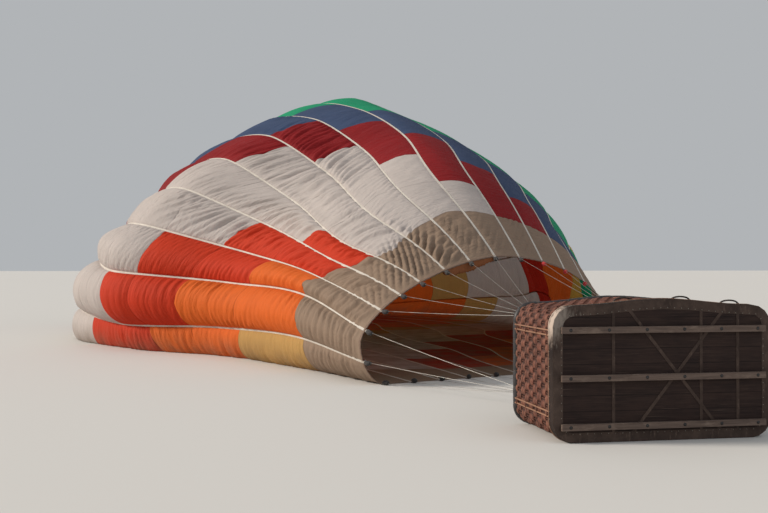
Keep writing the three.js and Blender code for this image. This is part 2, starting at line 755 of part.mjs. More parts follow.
// Cross wall for the pilot's end, and a wall that divides the rest
function partitionGeometry(innerInset) {
  const depth = 2 * (BASKET_HALF_DEPTH - innerInset - GAP);
  const height = PARTITION_TOP - FLOOR_THICKNESS - GAP;
  const y = FLOOR_THICKNESS + GAP + height / 2;
  const endX = BASKET_HALF_WIDTH - innerInset - GAP;
  const middleX = (endX + PARTITION_X) / 2;
  const across = box(WALL_THICKNESS, height, depth, PARTITION_X, y, BASKET_AXIS_Z);
  const lengthwise = box(endX - PARTITION_X, height, WALL_THICKNESS, middleX, y, BASKET_AXIS_Z);
  return join([across, lengthwise]);
}

// Fuel cylinder standing on the basket floor, with its band and the tab that holds it to the wall
function cylinderGeometry() {
  const { radius, height, sides } = CYLINDER;
  const { shoulder, foot, outer, inner, depth } = CYLINDER_COLLAR;
  const profile = [
    [0, 0],
    [radius * CYLINDER_FOOT.share, 0],
    [radius, CYLINDER_FOOT.height],
    [radius, height - shoulder],
    [radius * outer, height - foot],
    [radius * outer, height],
    [radius * inner, height],
    [radius * inner, height - depth],
    [0, height - depth],
  ].map(([r, h]) => new THREE.Vector2(r, h));
  const body = new THREE.LatheGeometry(profile, sides);
  const reach = BASKET_HALF_WIDTH - WALL_INSET - WALL_THICKNESS - CYLINDER.x - GAP;
  const { at, width, thickness, tab } = CYLINDER_BAND;
  const band = new THREE.CylinderGeometry(radius + thickness, radius + thickness, width, sides);
  band.translate(0, at, 0);
  return join([body, band, box(reach, width, tab, reach / 2, at, 0)]);
}

function addCylinders() {
  const places = [[-1, -1], [-1, 1], [1, -1], [1, 1]];
  places.forEach(([sideX, sideZ], index) => {
    const geometry = cylinderGeometry();
    const cylinder = add(`fuel_cylinder_${index + 1}`, geometry, metal(COLOURS.cylinder));
    cylinder.position.set(sideX * CYLINDER.x, FLOOR_THICKNESS + GAP, BASKET_AXIS_Z + sideZ * CYLINDER.offset);
    if (sideX < 0) cylinder.rotation.y = Math.PI;
  });
}

// Height of the upper wall's outer face over a place along X
function upperWallAt(x) {
  const corner = BASKET_HALF_WIDTH - BASKET_CORNER;
  const flat = BASKET_AXIS_Z + BASKET_HALF_DEPTH - WALL_INSET;
  const nodes = [new THREE.Vector2(corner, flat), ...bowedSide(WALL_INSET), new THREE.Vector2(-corner, flat)];
  const i = nodes.findIndex((node) => node.x <= x);
  const [from, to] = [nodes[i - 1], nodes[i]];
  return THREE.MathUtils.lerp(from.y, to.y, (x - from.x) / (to.x - from.x));
}

// Rope handle: a loop that leaves the upper wall and comes back to it
function addHandles() {
  HANDLE_PLACES.forEach((x, index) => {
    const ends = [x - HANDLE.span / 2, x + HANDLE.span / 2];
    const feet = ends.map((end) => {
      const wall = Math.max(upperWallAt(end - HANDLE.radius), upperWallAt(end + HANDLE.radius));
      return new THREE.Vector3(end, HANDLE.y, wall + GAP);
    });
    const lifts = feet.map((foot) => foot.clone().add(new THREE.Vector3(0, 0, HANDLE.rise)));
    const curve = new THREE.CubicBezierCurve3(feet[0], lifts[0], lifts[1], feet[1]);
    const section = new THREE.Shape().absarc(0, 0, HANDLE.radius, 0, Math.PI * 2);
    const geometry = new THREE.ExtrudeGeometry(section, {
      extrudePath: curve,
      steps: HANDLE.steps,
      curveSegments: HANDLE.sides / 2,
      bevelEnabled: false,
    });
    add(`rope_handle_${index + 1}`, geometry, material(COLOURS.rope, ROUGHNESS.cloth));
  });
}

function rectangleRing(halfWidth, halfDepth, tube) {
  const corners = (w, d) => [[-w, -d], [w, -d], [w, d], [-w, d]].map(([x, z]) => new THREE.Vector2(x, z));
  const shape = new THREE.Shape(corners(halfWidth + tube / 2, halfDepth + tube / 2));
  shape.holes.push(new THREE.Path(corners(halfWidth - tube / 2, halfDepth - tube / 2)));
  return raise(shape, -tube / 2, tube / 2);
}

function pinAlong(axis, from, to, radius) {
  const point = (distance) => new THREE.Vector3().addScaledVector(axis, distance);
  return bar(point(from), point(to), radius, radius, PIN_SIDES);
}

// Frame ring with a bored boss inside each of two opposite sides
function bossedRing(size, axis) {
  const alongX = axis === AXIS_X;
  const inside = (alongX ? size.halfWidth : size.halfDepth) - size.tube / 2;
  const length = BOSS.reach + 2 * BOSS.overlap;
  const middle = inside - BOSS.reach / 2 + BOSS.overlap;
  const bosses = [1, -1].map((side) => (alongX
    ? box(length, size.tube, BOSS.width, side * middle, 0, 0)
    : box(BOSS.width, size.tube, length, 0, 0, side * middle)));
  const ring = join([rectangleRing(size.halfWidth, size.halfDepth, size.tube), ...bosses]);
  const open = inside - BOSS.reach - BORE_PAST;
  return cut(ring, [1, -1].map((side) => pinAlong(axis, side * open, side * inside, BORE_RADIUS)));
}

function addLoadFrame() {
  const lugs = WIRE_CORNERS.map(({ sideX, sideZ }) => box(
    LUG,
    FRAME.tube / 2,
    LUG,
    sideX * (FRAME.halfWidth + LUG / 4),
    FRAME.tube / 4,
    sideZ * (FRAME.halfDepth + LUG / 4),
  ));
  const frame = add('load_frame', join([bossedRing(FRAME, AXIS_X), ...lugs]), metal(COLOURS.brushed));
  frame.position.set(0, BURNER_Y, BASKET_AXIS_Z);
}

function addGimbal() {
  const boreEnd = FRAME.halfWidth - FRAME.tube / 2 - GAP;
  const pins = [1, -1].map((side) => pinAlong(AXIS_X, side * GIMBAL.halfWidth, side * boreEnd, PIN_RADIUS));
  const gimbal = add('gimbal_ring', join([bossedRing(GIMBAL, AXIS_Z), ...pins]), metal(COLOURS.steel));
  gimbal.position.set(0, BURNER_Y, BASKET_AXIS_Z);
}

function addBurner() {
  const { halfWidth, halfDepth, below, above } = BURNER_BLOCK;
  const block = box(2 * halfWidth, below + above, 2 * halfDepth, 0, (above - below) / 2, 0);
  const boreEnd = GIMBAL.halfDepth - GIMBAL.tube / 2 - GAP;
  const rooted = halfDepth - PIN_ROOT;
  const pins = [1, -1].map((side) => pinAlong(AXIS_Z, side * rooted, side * boreEnd, PIN_RADIUS));
  const burner = new THREE.Group();
  burner.position.set(0, BURNER_Y, BASKET_AXIS_Z);
  balloon.add(burner);
  add('burner_block', join([block, ...pins]), metal(COLOURS.steel), burner);
  [-1, 1].forEach((side, index) => {
    const { radius, length, wall, base, sides } = CAN;
    const profile = [
      [0, 0], [radius, 0], [radius, length], [radius - wall, length], [radius - wall, base], [0, base],
    ].map(([r, h]) => new THREE.Vector2(r, h));
    const geometry = new THREE.LatheGeometry(profile, sides);
    const can = add(`burner_can_${index + 1}`, geometry, metal(COLOURS.brushed), burner);
    can.position.set(side * CAN.spacing, above + GAP, 0);
  });
}

function addUprights() {
  const places = [[-1, -1], [-1, 1], [1, -1], [1, 1]];
  const { footX, footZ, footRadius, topRadius, sides } = UPRIGHT;
  places.forEach(([sideX, sideZ], index) => {
    const foot = new THREE.Vector3(sideX * footX, RIM_Y + RIM_RADIUS, BASKET_AXIS_Z + sideZ * footZ);
    const top = new THREE.Vector3(
      sideX * FRAME.halfWidth,
      BURNER_Y - FRAME.tube / 2,
      BASKET_AXIS_Z + sideZ * FRAME.halfDepth,
    );
    const lean = Math.sin(top.clone().sub(foot).angleTo(AXIS_Y));
    foot.y += footRadius * lean + GAP;
    top.y -= topRadius * lean + GAP;
    const pole = bar(foot, top, footRadius, topRadius, sides);
    add(`upright_${index + 1}`, pole, material(COLOURS.leather, ROUGHNESS.leather));
  });
}

// End of a load tape at the mouth, just past the hem
function tapeEnd(tape) {
  return offsetPoint(hemFrame(tape, HEM_WIDTH), 0, -SHELL / 2);
}

// Wire with the karabiner that hooks it to a tape's end, thicker in its middle
function wireGeometry(tip, foot) {
  const { length, radius } = KARABINER;
  const reach = foot.distanceTo(tip);
  const profile = [
    [0, 0], [KARABINER.tip, 0], [radius, length / 2], [WIRE_RADIUS, length], [WIRE_RADIUS, reach], [0, reach],
  ].map(([r, h]) => new THREE.Vector2(r, h));
  const geometry = new THREE.LatheGeometry(profile, WIRE_SIDES);
  const inward = foot.clone().sub(tip).normalize();
  geometry.applyQuaternion(new THREE.Quaternion().setFromUnitVectors(AXIS_Y, inward));
  return geometry.translate(tip.x, tip.y, tip.z);
}

// Six wires from neighbouring load tapes, side by side on a shackle at one corner of the load frame
function addFlyingWires() {
  for (const { name, sideX, sideZ, firstTape } of WIRE_CORNERS) {
    const shackle = new THREE.Vector3(
      sideX * (FRAME.halfWidth + LUG / 4),
      BURNER_Y + FRAME.tube / 2 + GAP + SHACKLE.depth / 2,
      BASKET_AXIS_Z + sideZ * (FRAME.halfDepth + LUG / 4),
    );
    const ends = Array.from({ length: WIRES_PER_CORNER }, (_, k) => tapeEnd((firstTape + k) % GORE_COUNT));
    ends.sort((a, b) => a.x - b.x);
    const pieces = [box(SHACKLE.length, SHACKLE.depth, SHACKLE.depth, shackle.x, shackle.y, shackle.z)];
    ends.forEach((end, place) => {
      const foot = shackle.clone();
      foot.x += SHACKLE.pitch * (place - (WIRES_PER_CORNER - 1) / 2);
      const inward = foot.clone().sub(end).normalize();
      const tip = end.clone().addScaledVector(inward, KARABINER.clear);
      pieces.push(wireGeometry(tip, foot));
    });
    add(`flying_wires_${name}`, join(pieces), metal(COLOURS.steel));
  }
}

addEnvelope();
addCrownRing();
add('parachute_valve', valveGeometry(), cloth(COLOURS.cream));
addBasket();
addCylinders();
addHandles();
addLoadFrame();
addGimbal();
addBurner();
addUprights();
addFlyingWires();

// The origin is the middle of the ground that the balloon covers
const extent = new THREE.Box3().setFromObject(balloon);
const origin = extent.getCenter(new THREE.Vector3());
balloon.position.set(-origin.x, -origin.y, 0);

export default balloon;
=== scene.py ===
import math

import bpy
import numpy as np
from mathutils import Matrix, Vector


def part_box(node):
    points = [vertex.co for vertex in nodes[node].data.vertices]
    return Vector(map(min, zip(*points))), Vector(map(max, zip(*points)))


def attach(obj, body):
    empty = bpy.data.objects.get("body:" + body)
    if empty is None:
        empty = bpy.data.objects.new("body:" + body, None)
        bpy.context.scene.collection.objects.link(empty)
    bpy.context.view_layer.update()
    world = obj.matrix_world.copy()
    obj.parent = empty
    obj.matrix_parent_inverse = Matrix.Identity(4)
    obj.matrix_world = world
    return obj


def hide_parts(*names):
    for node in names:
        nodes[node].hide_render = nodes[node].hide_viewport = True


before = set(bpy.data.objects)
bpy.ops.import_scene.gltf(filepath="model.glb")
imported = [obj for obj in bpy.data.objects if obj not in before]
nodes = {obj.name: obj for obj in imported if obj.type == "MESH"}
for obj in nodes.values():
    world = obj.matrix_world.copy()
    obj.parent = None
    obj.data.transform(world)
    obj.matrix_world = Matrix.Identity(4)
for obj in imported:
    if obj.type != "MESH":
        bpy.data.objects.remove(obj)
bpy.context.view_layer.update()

# The sketch's origin is the middle of the basket floor's outer face. Runner 1 is centred on it.
RUNNER_GAP = 0.0046
runner_low, runner_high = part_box("runner_1")
ORIGIN = np.array([(runner_low.x + runner_high.x) / 2, runner_high.y + RUNNER_GAP, 0.0])

# Camera, in the sketch: eye height of a person who stands behind the basket
CAMERA_AT = (-4.31, -8.79, 1.63)
CAMERA_TURN = math.radians(10.5)
CAMERA_RISE = math.radians(0.6)
LENS, SENSOR_WIDTH = 46.9, 36
CLIP_END = 1000

# Envelope: the same cross-sections as the solids, in metres
GORE_COUNT = 24
MOUTH_CENTRE = np.array([0.14, 5.69])
HEADING = math.radians(4.5)
AXIS = np.array([-math.sin(HEADING), math.cos(HEADING), 0.0])
SIDEWAYS = np.array([math.cos(HEADING), math.sin(HEADING), 0.0])
LAST_ARCH_TAPE = 16
ARCH_STEPS = 240
FOOT_SHARE = 0.7
TOP_ALONG = 19.5
SECTION_COLUMNS = (
    "along", "near", "far", "height", "waist", "skew",
    "near_droop", "far_droop", "first_tape", "spread", "lobe",
)
SECTION_ROWS = (
    (0.0, 2.35, 2.20, 1.81, 0.60, 0.32, 1.30, 1.00, -0.18, 0.81, 0.00),
    (2.0, 2.80, 2.75, 3.16, 0.80, 0.26, 1.30, 1.05, -0.17, 0.51, 0.11),
    (4.5, 3.76, 3.80, 4.20, 0.94, 0.09, 1.48, 1.19, 0.00, 0.76, 0.17),
    (7.5, 5.62, 4.97, 5.16, 1.43, 0.20, 1.34, 1.35, 0.14, 0.99, 0.24),
    (10.5, 6.35, 5.54, 5.78, 0.64, 0.09, 1.33, 1.43, 0.23, 0.81, 0.28),
    (13.5, 5.56, 5.73, 5.27, 1.15, 0.00, 1.80, 1.20, 0.66, 0.96, 0.28),
    (16.5, 4.40, 4.80, 4.10, 1.00, 0.00, 1.30, 1.20, 0.40, 0.96, 0.20),
    (19.5, 2.40, 2.60, 2.00, 0.60, 0.00, 1.10, 1.10, 0.10, 0.95, 0.06),
)
SECTIONS = dict(zip(SECTION_COLUMNS, np.array(SECTION_ROWS).T))
FIRST_FOLDED_TAPE = 2
FOLDED_GORES = 3
FLAT_LOBE = 0.16
FULL_LOBE_TAPE = 2
FLAT_LOBE_TAPE = 3.6
APEX_LATERAL = 0.1
APEX_HEIGHT = 0.85
APEX_RISE = 0.5
HEM_WIDTH = 0.040
SHELL = 0.010
TAPE_HALF = 0.019
TAPE_COVER = 0.020
TAPE_THICK = 0.003
CLOTH_LIFT = 0.006

# Seams between the rows of panels, at the middle of a gore: distance from the mouth to each of the
# first six. The first one ends the flame-proof band. Farther from the mouth the rows are even, and
# all gores have their seams at the same places.
SEAM_COLUMNS = ("gore", 1, 2, 3, 4, 5, 6)
SEAM_ROWS = (
    (0, 1.90, 4.05, 5.30, 6.45, 7.65, 8.90),
    (1, 2.00, 3.85, 5.55, 6.75, 7.75, 8.90),
    (2, 2.10, 3.80, 5.30, 6.60, 7.80, 9.00),
    (3, 1.60, 3.40, 5.15, 6.70, 7.95, 9.10),
    (4, 1.15, 2.90, 4.60, 6.10, 7.40, 8.70),
    (5, 0.90, 2.35, 3.95, 5.46, 6.60, 7.80),
    (6, 1.05, 2.40, 3.71, 5.16, 6.20, 7.25),
    (7, 1.10, 2.05, 3.45, 4.80, 6.00, 7.20),
    (8, 0.95, 1.82, 3.10, 4.50, 5.70, 6.95),
    (9, 0.90, 1.60, 2.75, 4.20, 5.50, 6.80),
    (10, 0.90, 1.80, 2.90, 4.10, 5.50, 6.90),
    (12, 1.00, 2.30, 3.60, 4.90, 6.30, 7.80),
    (14, 1.20, 2.95, 4.70, 6.45, 8.10, 9.40),
    (20, 1.20, 2.95, 4.70, 6.45, 8.10, 9.40),
    (23, 1.90, 3.80, 5.30, 6.60, 7.80, 9.00),
)
SEAMS = dict(zip(SEAM_COLUMNS, np.array(SEAM_ROWS, float).T))
LAST_OWN_SEAM = 6
EVEN_FIRST, EVEN_STEP = 1.20, 1.45
EVEN_ROWS = (6, 10)
ROW_COUNT = 14

# Colour of each step of the helical pattern: row along the gore plus the gore's number
PATTERN = (
    ("white", 1), ("gold", 1), ("orange", 2), ("flame", 2), ("white", 4), ("crimson", 2), ("slate", 2),
    ("green", 2), ("yellow", 2), ("orange", 2), ("red", 2), ("white", 2),
)
CLOTH_COLOURS = {
    "tan": (0.330, 0.235, 0.170),
    "gold": (0.560, 0.330, 0.110),
    "orange": (0.780, 0.150, 0.024),
    "flame": (0.640, 0.048, 0.016),
    "red": (0.480, 0.026, 0.014),
    "crimson": (0.290, 0.013, 0.016),
    "white": (0.610, 0.545, 0.510),
    "slate": (0.058, 0.090, 0.180),
    "green": (0.015, 0.350, 0.170),
    "yellow": (0.620, 0.400, 0.080),
    "lip": (0.300, 0.110, 0.045),
}
pattern = [name for name, count in PATTERN for _ in range(count)]

# Noise on a lattice, the same at each run
NOISE_SIZE = 64


class Noise:
    def __init__(self, seed):
        self.table = np.random.default_rng(seed).uniform(-1, 1, (NOISE_SIZE, NOISE_SIZE))

    def __call__(self, x, y):
        x, y = np.broadcast_arrays(np.asarray(x, float), np.asarray(y, float))
        column, row = np.floor(x).astype(int), np.floor(y).astype(int)
        a, b = smoothstep(x - column, 0, 1), smoothstep(y - row, 0, 1)

        def line(j):
            left, right = (self.table[(row + j) % NOISE_SIZE, (column + i) % NOISE_SIZE] for i in (0, 1))
            return left * (1 - a) + right * a

        return line(0) * (1 - b) + line(1) * b


def smoothstep(value, low, high):
    q = np.clip((np.asarray(value, float) - low) / (high - low), 0, 1)
    return q * q * (3 - 2 * q)


def lerp(a, b, q):
    return a + (b - a) * q


def unit(vectors):
    return vectors / np.maximum(np.linalg.norm(vectors, axis=-1, keepdims=True), 1e-9)


def pairs(a, b):
    """Pairs of one value from each array, both stretched to the same shape."""
    return np.stack(np.broadcast_arrays(a, b), axis=-1)


def circle(count, first=0.0):
    """Angles of a full turn in even steps. first is where the turn starts, in steps."""
    return 2 * math.pi * (np.arange(count) + first) / count


def lengths_along(line):
    """Length of a line up to each of its points."""
    return np.concatenate([[0], np.cumsum(np.linalg.norm(np.diff(line, axis=0), axis=1))])


def section_value(column, along):
    """One column of the section table, smooth and without overshoot."""
    x, y = SECTIONS["along"], SECTIONS[column]
    slopes = np.diff(y) / np.diff(x)
    before, after = slopes[:-1], slopes[1:]
    tangents = np.concatenate([slopes[:1], np.zeros(len(before)), slopes[-1:]])
    same = before * after > 0
    tangents[1:-1][same] = (2 * before * after / np.where(same, before + after, 1))[same]
    k = np.clip(np.searchsorted(x, along, side="right") - 1, 0, len(x) - 2)
    span = x[k + 1] - x[k]
    q = (along - x[k]) / span
    q2, q3 = q * q, q * q * q
    return ((2 * q3 - 3 * q2 + 1) * y[k] + (q3 - 2 * q2 + q) * span * tangents[k]
            + (3 * q2 - 2 * q3) * y[k + 1] + (q3 - q2) * span * tangents[k + 1])


def cloth_up_to(u, spread):
    """Width of cloth up to tape u, in gores, where the folded ones show the given share."""
    return u - (1 - spread) * np.clip(u - FIRST_FOLDED_TAPE, 0, FOLDED_GORES)


def arches(along):
    """Sideways places, heights and cloth lengths of the arch at each place along the axis."""
    along = along[:, None]
    value = {c: section_value(c, along) for c in SECTION_COLUMNS[1:]}
    step = np.arange(ARCH_STEPS + 1)[None]
    angle = -math.pi / 2 + 2 * math.pi * step / ARCH_STEPS
    on_near = step <= ARCH_STEPS / 2
    width = np.where(on_near, value["near"], value["far"])
    droop = np.where(on_near, value["near_droop"], value["far_droop"])
    waist = value["waist"]
    foot = FOOT_SHARE * waist
    c, s = np.abs(np.cos(angle)), np.sin(angle)
    lateral = np.where(s >= 0, width * c ** droop, width - foot + foot * c) * np.where(on_near, -1, 1)
    rise = (value["height"] - waist) * np.clip(s, 0, 1) ** droop
    z = np.maximum(np.where(s >= 0, waist + rise, waist * (1 + s)), 0)
    steps = np.hypot(np.diff(lateral), np.diff(z))
    lengths = np.concatenate([np.zeros((len(along), 1)), np.cumsum(steps, axis=1)], axis=1)
    return lateral, z, lengths, value


def on_axis(lateral, along, z):
    point = lateral[..., None] * SIDEWAYS + along[..., None] * AXIS
    point[..., 2] = z
    point[..., :2] += MOUTH_CENTRE
    return point


def surface(us, along):
    """Points of the smooth envelope: a row for each place along it and a column for each tape number."""
    us, along = np.asarray(us, float), np.asarray(along, float)
    lateral, z, lengths, value = arches(along)
    first, spread = value["first_tape"], value["spread"]
    tape = first + np.mod(us[None] - first, GORE_COUNT)
    start, end = cloth_up_to(first, spread), cloth_up_to(LAST_ARCH_TAPE, spread)
    target = np.clip((cloth_up_to(tape, spread) - start) / (end - start), 0, 1) * lengths[:, -1:]
    flat = np.clip((tape - LAST_ARCH_TAPE) / (GORE_COUNT + first - LAST_ARCH_TAPE), 0, 1)
    side, up = (np.array([np.interp(*row) for row in zip(target, lengths, over)]) for over in (lateral, z))
    on_floor = tape > LAST_ARCH_TAPE
    side = np.where(on_floor, lerp(lateral[:, -1:], lateral[:, :1], flat), side)
    up = np.where(on_floor, 0, up)
    return on_axis(side, along[:, None] + value["skew"] * side, up)


TAPE_STEP = 0.02
ALONG_STEP = 0.02
ON_GROUND = 0.001
DOWN = (0, 0, -1)


def surface_frame(us, along):
    """Points, directions across the tapes, outward normals and lengthwise directions."""
    us, along = np.asarray(us, float), np.asarray(along, float)
    point = surface(us, along)
    across = unit(surface(us + TAPE_STEP, along) - surface(us - TAPE_STEP, along))
    low, high = np.maximum(along - ALONG_STEP, 0), np.minimum(along + ALONG_STEP, TOP_ALONG)
    lengthwise = unit(surface(us, high) - surface(us, low))
    normal = unit(np.cross(across, lengthwise))
    down = point[..., 2] < ON_GROUND
    normal[down] = DOWN
    across[down, 2] = 0
    return point, unit(across), normal, lengthwise


def hem_points(us, forward):
    """Places a little in front of the mouth's edge, with their frames."""
    point, across, normal, lengthwise = (value[0] for value in surface_frame(us, [0.0]))
    return point - lengthwise * forward, across, normal, lengthwise


# Grid of the smooth envelope that a gore's columns are read from
GRID_STEP = 0.1
grid_along = np.arange(round(TOP_ALONG / GRID_STEP) + 1) * GRID_STEP


def at_lines(values, lines):
    """Values of each column of the grid at that column's own distances along the envelope."""
    position = lines / GRID_STEP
    k = np.clip(np.floor(position).astype(int), 1, len(values) - 3)
    q = (position - k)[..., None]
    column = np.arange(lines.shape[1])[None]
    a, b, c, d = (values[k + offset, column] for offset in (-1, 0, 1, 2))
    return b + 0.5 * q * (c - a + q * (2 * a - 5 * b + 4 * c - d + q * (3 * (b - c) + d - a)))


def grid_faces(rows, columns, wrap=False):
    """Quads of a grid of points, closed across its columns if wrap is true."""
    r = np.arange(rows - 1)[:, None]
    k = np.arange(columns if wrap else columns - 1)[None]
    near, far = r * columns + k, r * columns + (k + 1) % columns
    return np.stack([near, far, far + columns, near + columns], axis=-1).reshape(-1, 4).tolist()


def link(name, data):
    """Object in the scene with this mesh, light or camera."""
    made = bpy.data.objects.new(name, data)
    bpy.context.scene.collection.objects.link(made)
    return made


def add_piece(name, points, faces, materials, uv, face_slots, body="balloon", replaces=(), smooth=True):
    """Visible piece from points of the sketch, which rides on one body."""
    mesh = bpy.data.meshes.new(name)
    mesh.from_pydata((np.reshape(points, (-1, 3)) + ORIGIN).tolist(), [], faces)
    for material in materials:
        mesh.materials.append(material)
    mesh.polygons.foreach_set("material_index", np.asarray(face_slots, np.int32))
    mesh.polygons.foreach_set("use_smooth", np.full(len(mesh.polygons), smooth))
    corner = np.empty(len(mesh.loops), np.int32)
    mesh.loops.foreach_get("vertex_index", corner)
    layer = mesh.uv_layers.new(name="UVMap")
    layer.data.foreach_set("uv", np.reshape(uv, (-1, 2)).astype(np.float32)[corner].ravel())
    mesh.update()
    made = link(name, mesh)
    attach(made, body)
    if replaces:
        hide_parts(*replaces)
    return made


UPWARD = (0.13, 0.27, 0.95)
LATHE_FROM = (0.31, 0.17, 0.93)
DOME_END = 0.96


class Shapes:
    """Parts of one mesh, gathered before it is made into a piece."""

    def __init__(self):
        self.points, self.faces, self.uvs, self.slots = [], [], [], []
        self.count = 0

    def add(self, points, faces, uv=None, slot=0):
        points = np.asarray(points, float).reshape(-1, 3)
        self.points.append(points)
        self.faces += [tuple(i + self.count for i in face) for face in faces]
        self.uvs.append(np.zeros((len(points), 2)) if uv is None else np.asarray(uv, float).reshape(-1, 2))
        self.slots += [slot] * len(faces)
        self.count += len(points)

    def sheet(self, rows, uv):
        self.add(rows, grid_faces(*rows.shape[:2]), uv)

    def tube(self, sections, closed=False, uv=None, slot=0):
        """Skin through rings of points, capped at its ends unless it is closed."""
        rows, sides = sections.shape[:2]
        if closed:
            sections = np.concatenate([sections, sections[:1]])
            rows += 1
        faces = grid_faces(rows, sides, wrap=True)
        if not closed:
            faces += [range(sides)[::-1], range((rows - 1) * sides, rows * sides)]
        self.add(sections, faces, uv, slot)

    def rod(self, path, radius, sides=8, closed=False, slot=0, up=UPWARD):
        """Round bar along a path. radius is one number, or one for each point of the path."""
        path = np.asarray(path, float)
        along = np.roll(path, -1, axis=0) - np.roll(path, 1, axis=0) if closed else np.gradient(path, axis=0)
        along = unit(along)
        right = unit(np.cross(along, up))
        front = np.cross(right, along)
        angle = circle(sides)[None, :, None]
        radius = np.broadcast_to(np.asarray(radius, float), (len(path),))[:, None, None]
        rings = path[:, None] + radius * (np.cos(angle) * right[:, None] + np.sin(angle) * front[:, None])
        uv = None if closed else pairs(np.arange(sides)[None] / sides, lengths_along(path)[:, None])
        self.tube(rings, closed, uv, slot)

    def lathe(self, profile, base, direction, sides=24, slot=0):
        """Turned shape: profile holds pairs of radius and height, from base along direction."""
        direction = unit(np.asarray(direction, float))
        right = unit(np.cross(direction, LATHE_FROM))
        front = np.cross(direction, right)
        angle = circle(sides)[:, None]
        ring = np.cos(angle) * right + np.sin(angle) * front
        radius, height = np.asarray(profile, float).T[:, :, None, None]
        uv = pairs(np.arange(sides)[None] / sides, height[:, 0])
        self.tube(np.asarray(base, float) + height * direction + radius * ring[None], False, uv, slot)

    def turned(self, steps, base, direction, sides=24, slot=0):
        """Lathe shape with flat ends: the first step lies on its base."""
        self.lathe([(0, 0), *steps, (0, steps[-1][1])], base, direction, sides, slot)

    def dome(self, centre, direction, radius, height, sides=8, steps=3):
        """Round head, as of a bolt or a tack."""
        angle = np.linspace(0, math.pi / 2 * DOME_END, steps + 1)
        self.lathe(pairs(radius * np.cos(angle), height * np.sin(angle)), centre, direction, sides)

    def piece(self, name, materials, slot, body="balloon", replaces=(), smooth=True):
        return add_piece(name, np.concatenate(self.points), self.faces, materials, np.concatenate(self.uvs),
                         self.slots, body, replaces, smooth)


# Materials
SPECULAR = "Specular IOR Level"


class Nodes:
    """Short names for making the nodes of one material."""

    def __init__(self, name):
        self.material = bpy.data.materials.new(name)
        self.material.use_nodes = True
        self.tree = self.material.node_tree
        self.shader = self.tree.nodes["Principled BSDF"]
        self.output = self.tree.nodes["Material Output"]

    def add(self, kind, inputs, **settings):
        node = self.tree.nodes.new(kind)
        for key, value in settings.items():
            setattr(node, key, value)
        for key, value in inputs.items():
            self.set(node.inputs[key], value)
        return node

    def set(self, socket, value):
        if isinstance(value, bpy.types.NodeSocket):
            self.tree.links.new(value, socket)
        elif isinstance(value, tuple) and socket.type == "RGBA":
            socket.default_value = (*value, 1)
        else:
            socket.default_value = value

    def math(self, operation, a, b=0.0):
        return self.add("ShaderNodeMath", {0: a, 1: b}, operation=operation).outputs[0]

    def noise(self, vector, scale, detail=2.0, roughness=0.5):
        inputs = {"Vector": vector, "Scale": scale, "Detail": detail, "Roughness": roughness}
        return self.add("ShaderNodeTexNoise", inputs).outputs["Fac"]

    def stretch(self, vector, scale, rotation=(0, 0, 0)):
        inputs = {"Vector": vector, "Scale": scale, "Rotation": rotation}
        return self.add("ShaderNodeMapping", inputs).outputs[0]

    def parts(self, vector):
        return [vector, *self.add("ShaderNodeSeparateXYZ", {"Vector": vector}).outputs]

    def uv(self):
        """UV coordinates, and their two parts."""
        return self.parts(self.add("ShaderNodeTexCoord", {}).outputs["UV"])[:3]

    def position(self):
        """Place in the sketch, and its three parts."""
        world = self.add("ShaderNodeNewGeometry", {}).outputs["Position"]
        inputs = {0: world, 1: tuple(-ORIGIN)}
        return self.parts(self.add("ShaderNodeVectorMath", inputs, operation="ADD").outputs[0])

    def mix(self, factor, a, b):
        return self.add("ShaderNodeMix", {"Factor": factor, 6: a, 7: b}, data_type="RGBA").outputs[2]

    def ramp(self, factor, low, high, start=0.0, end=1.0):
        inputs = {"Value": factor, "From Min": low, "From Max": high, "To Min": start, "To Max": end}
        return self.add("ShaderNodeMapRange", inputs).outputs[0]

    def shades(self, mask, low, high, colour, dark, light):
        """From a darker to a lighter shade of a colour as the mask goes from low to high."""
        return self.mix(self.ramp(mask, low, high), shade(colour, dark), shade(colour, light))

    def stain(self, tone, mask, low, high, share, colour):
        """Up to a share of another colour where the mask is high."""
        return self.mix(self.ramp(mask, low, high, 0.0, share), tone, colour)

    def from_middle(self, value, size):
        """Distance from the middle of the cell, in cells of a size."""
        cell = self.math("FRACT", self.math("DIVIDE", value, size))
        return self.math("ABSOLUTE", self.math("SUBTRACT", cell, 0.5))

    def dashes(self, value, size, gap):
        return self.math("GREATER_THAN", self.math("FRACT", self.math("DIVIDE", value, size)), gap)

    def bump(self, height, distance, strength=1.0, normal=None):
        inputs = {"Height": height, "Distance": distance, "Strength": strength}
        if normal is not None:
            inputs["Normal"] = normal
        return self.add("ShaderNodeBump", inputs).outputs[0]

    def finish(self, colour, roughness, normal=None, metallic=0.0):
        self.set(self.shader.inputs["Base Color"], colour)
        self.set(self.shader.inputs["Roughness"], roughness)
        self.shader.inputs["Metallic"].default_value = metallic
        if normal is not None:
            self.set(self.shader.inputs["Normal"], normal)
        return self.material


def shade(colour, factor):
    return tuple(min(1.0, c * factor) for c in colour)


TRANSLUCENCY = 0.28
RIPSTOP = 0.012
ROW_UNIT = 1.4
DUST = (0.22, 0.15, 0.10)
PLANK_WIDTH = 0.145


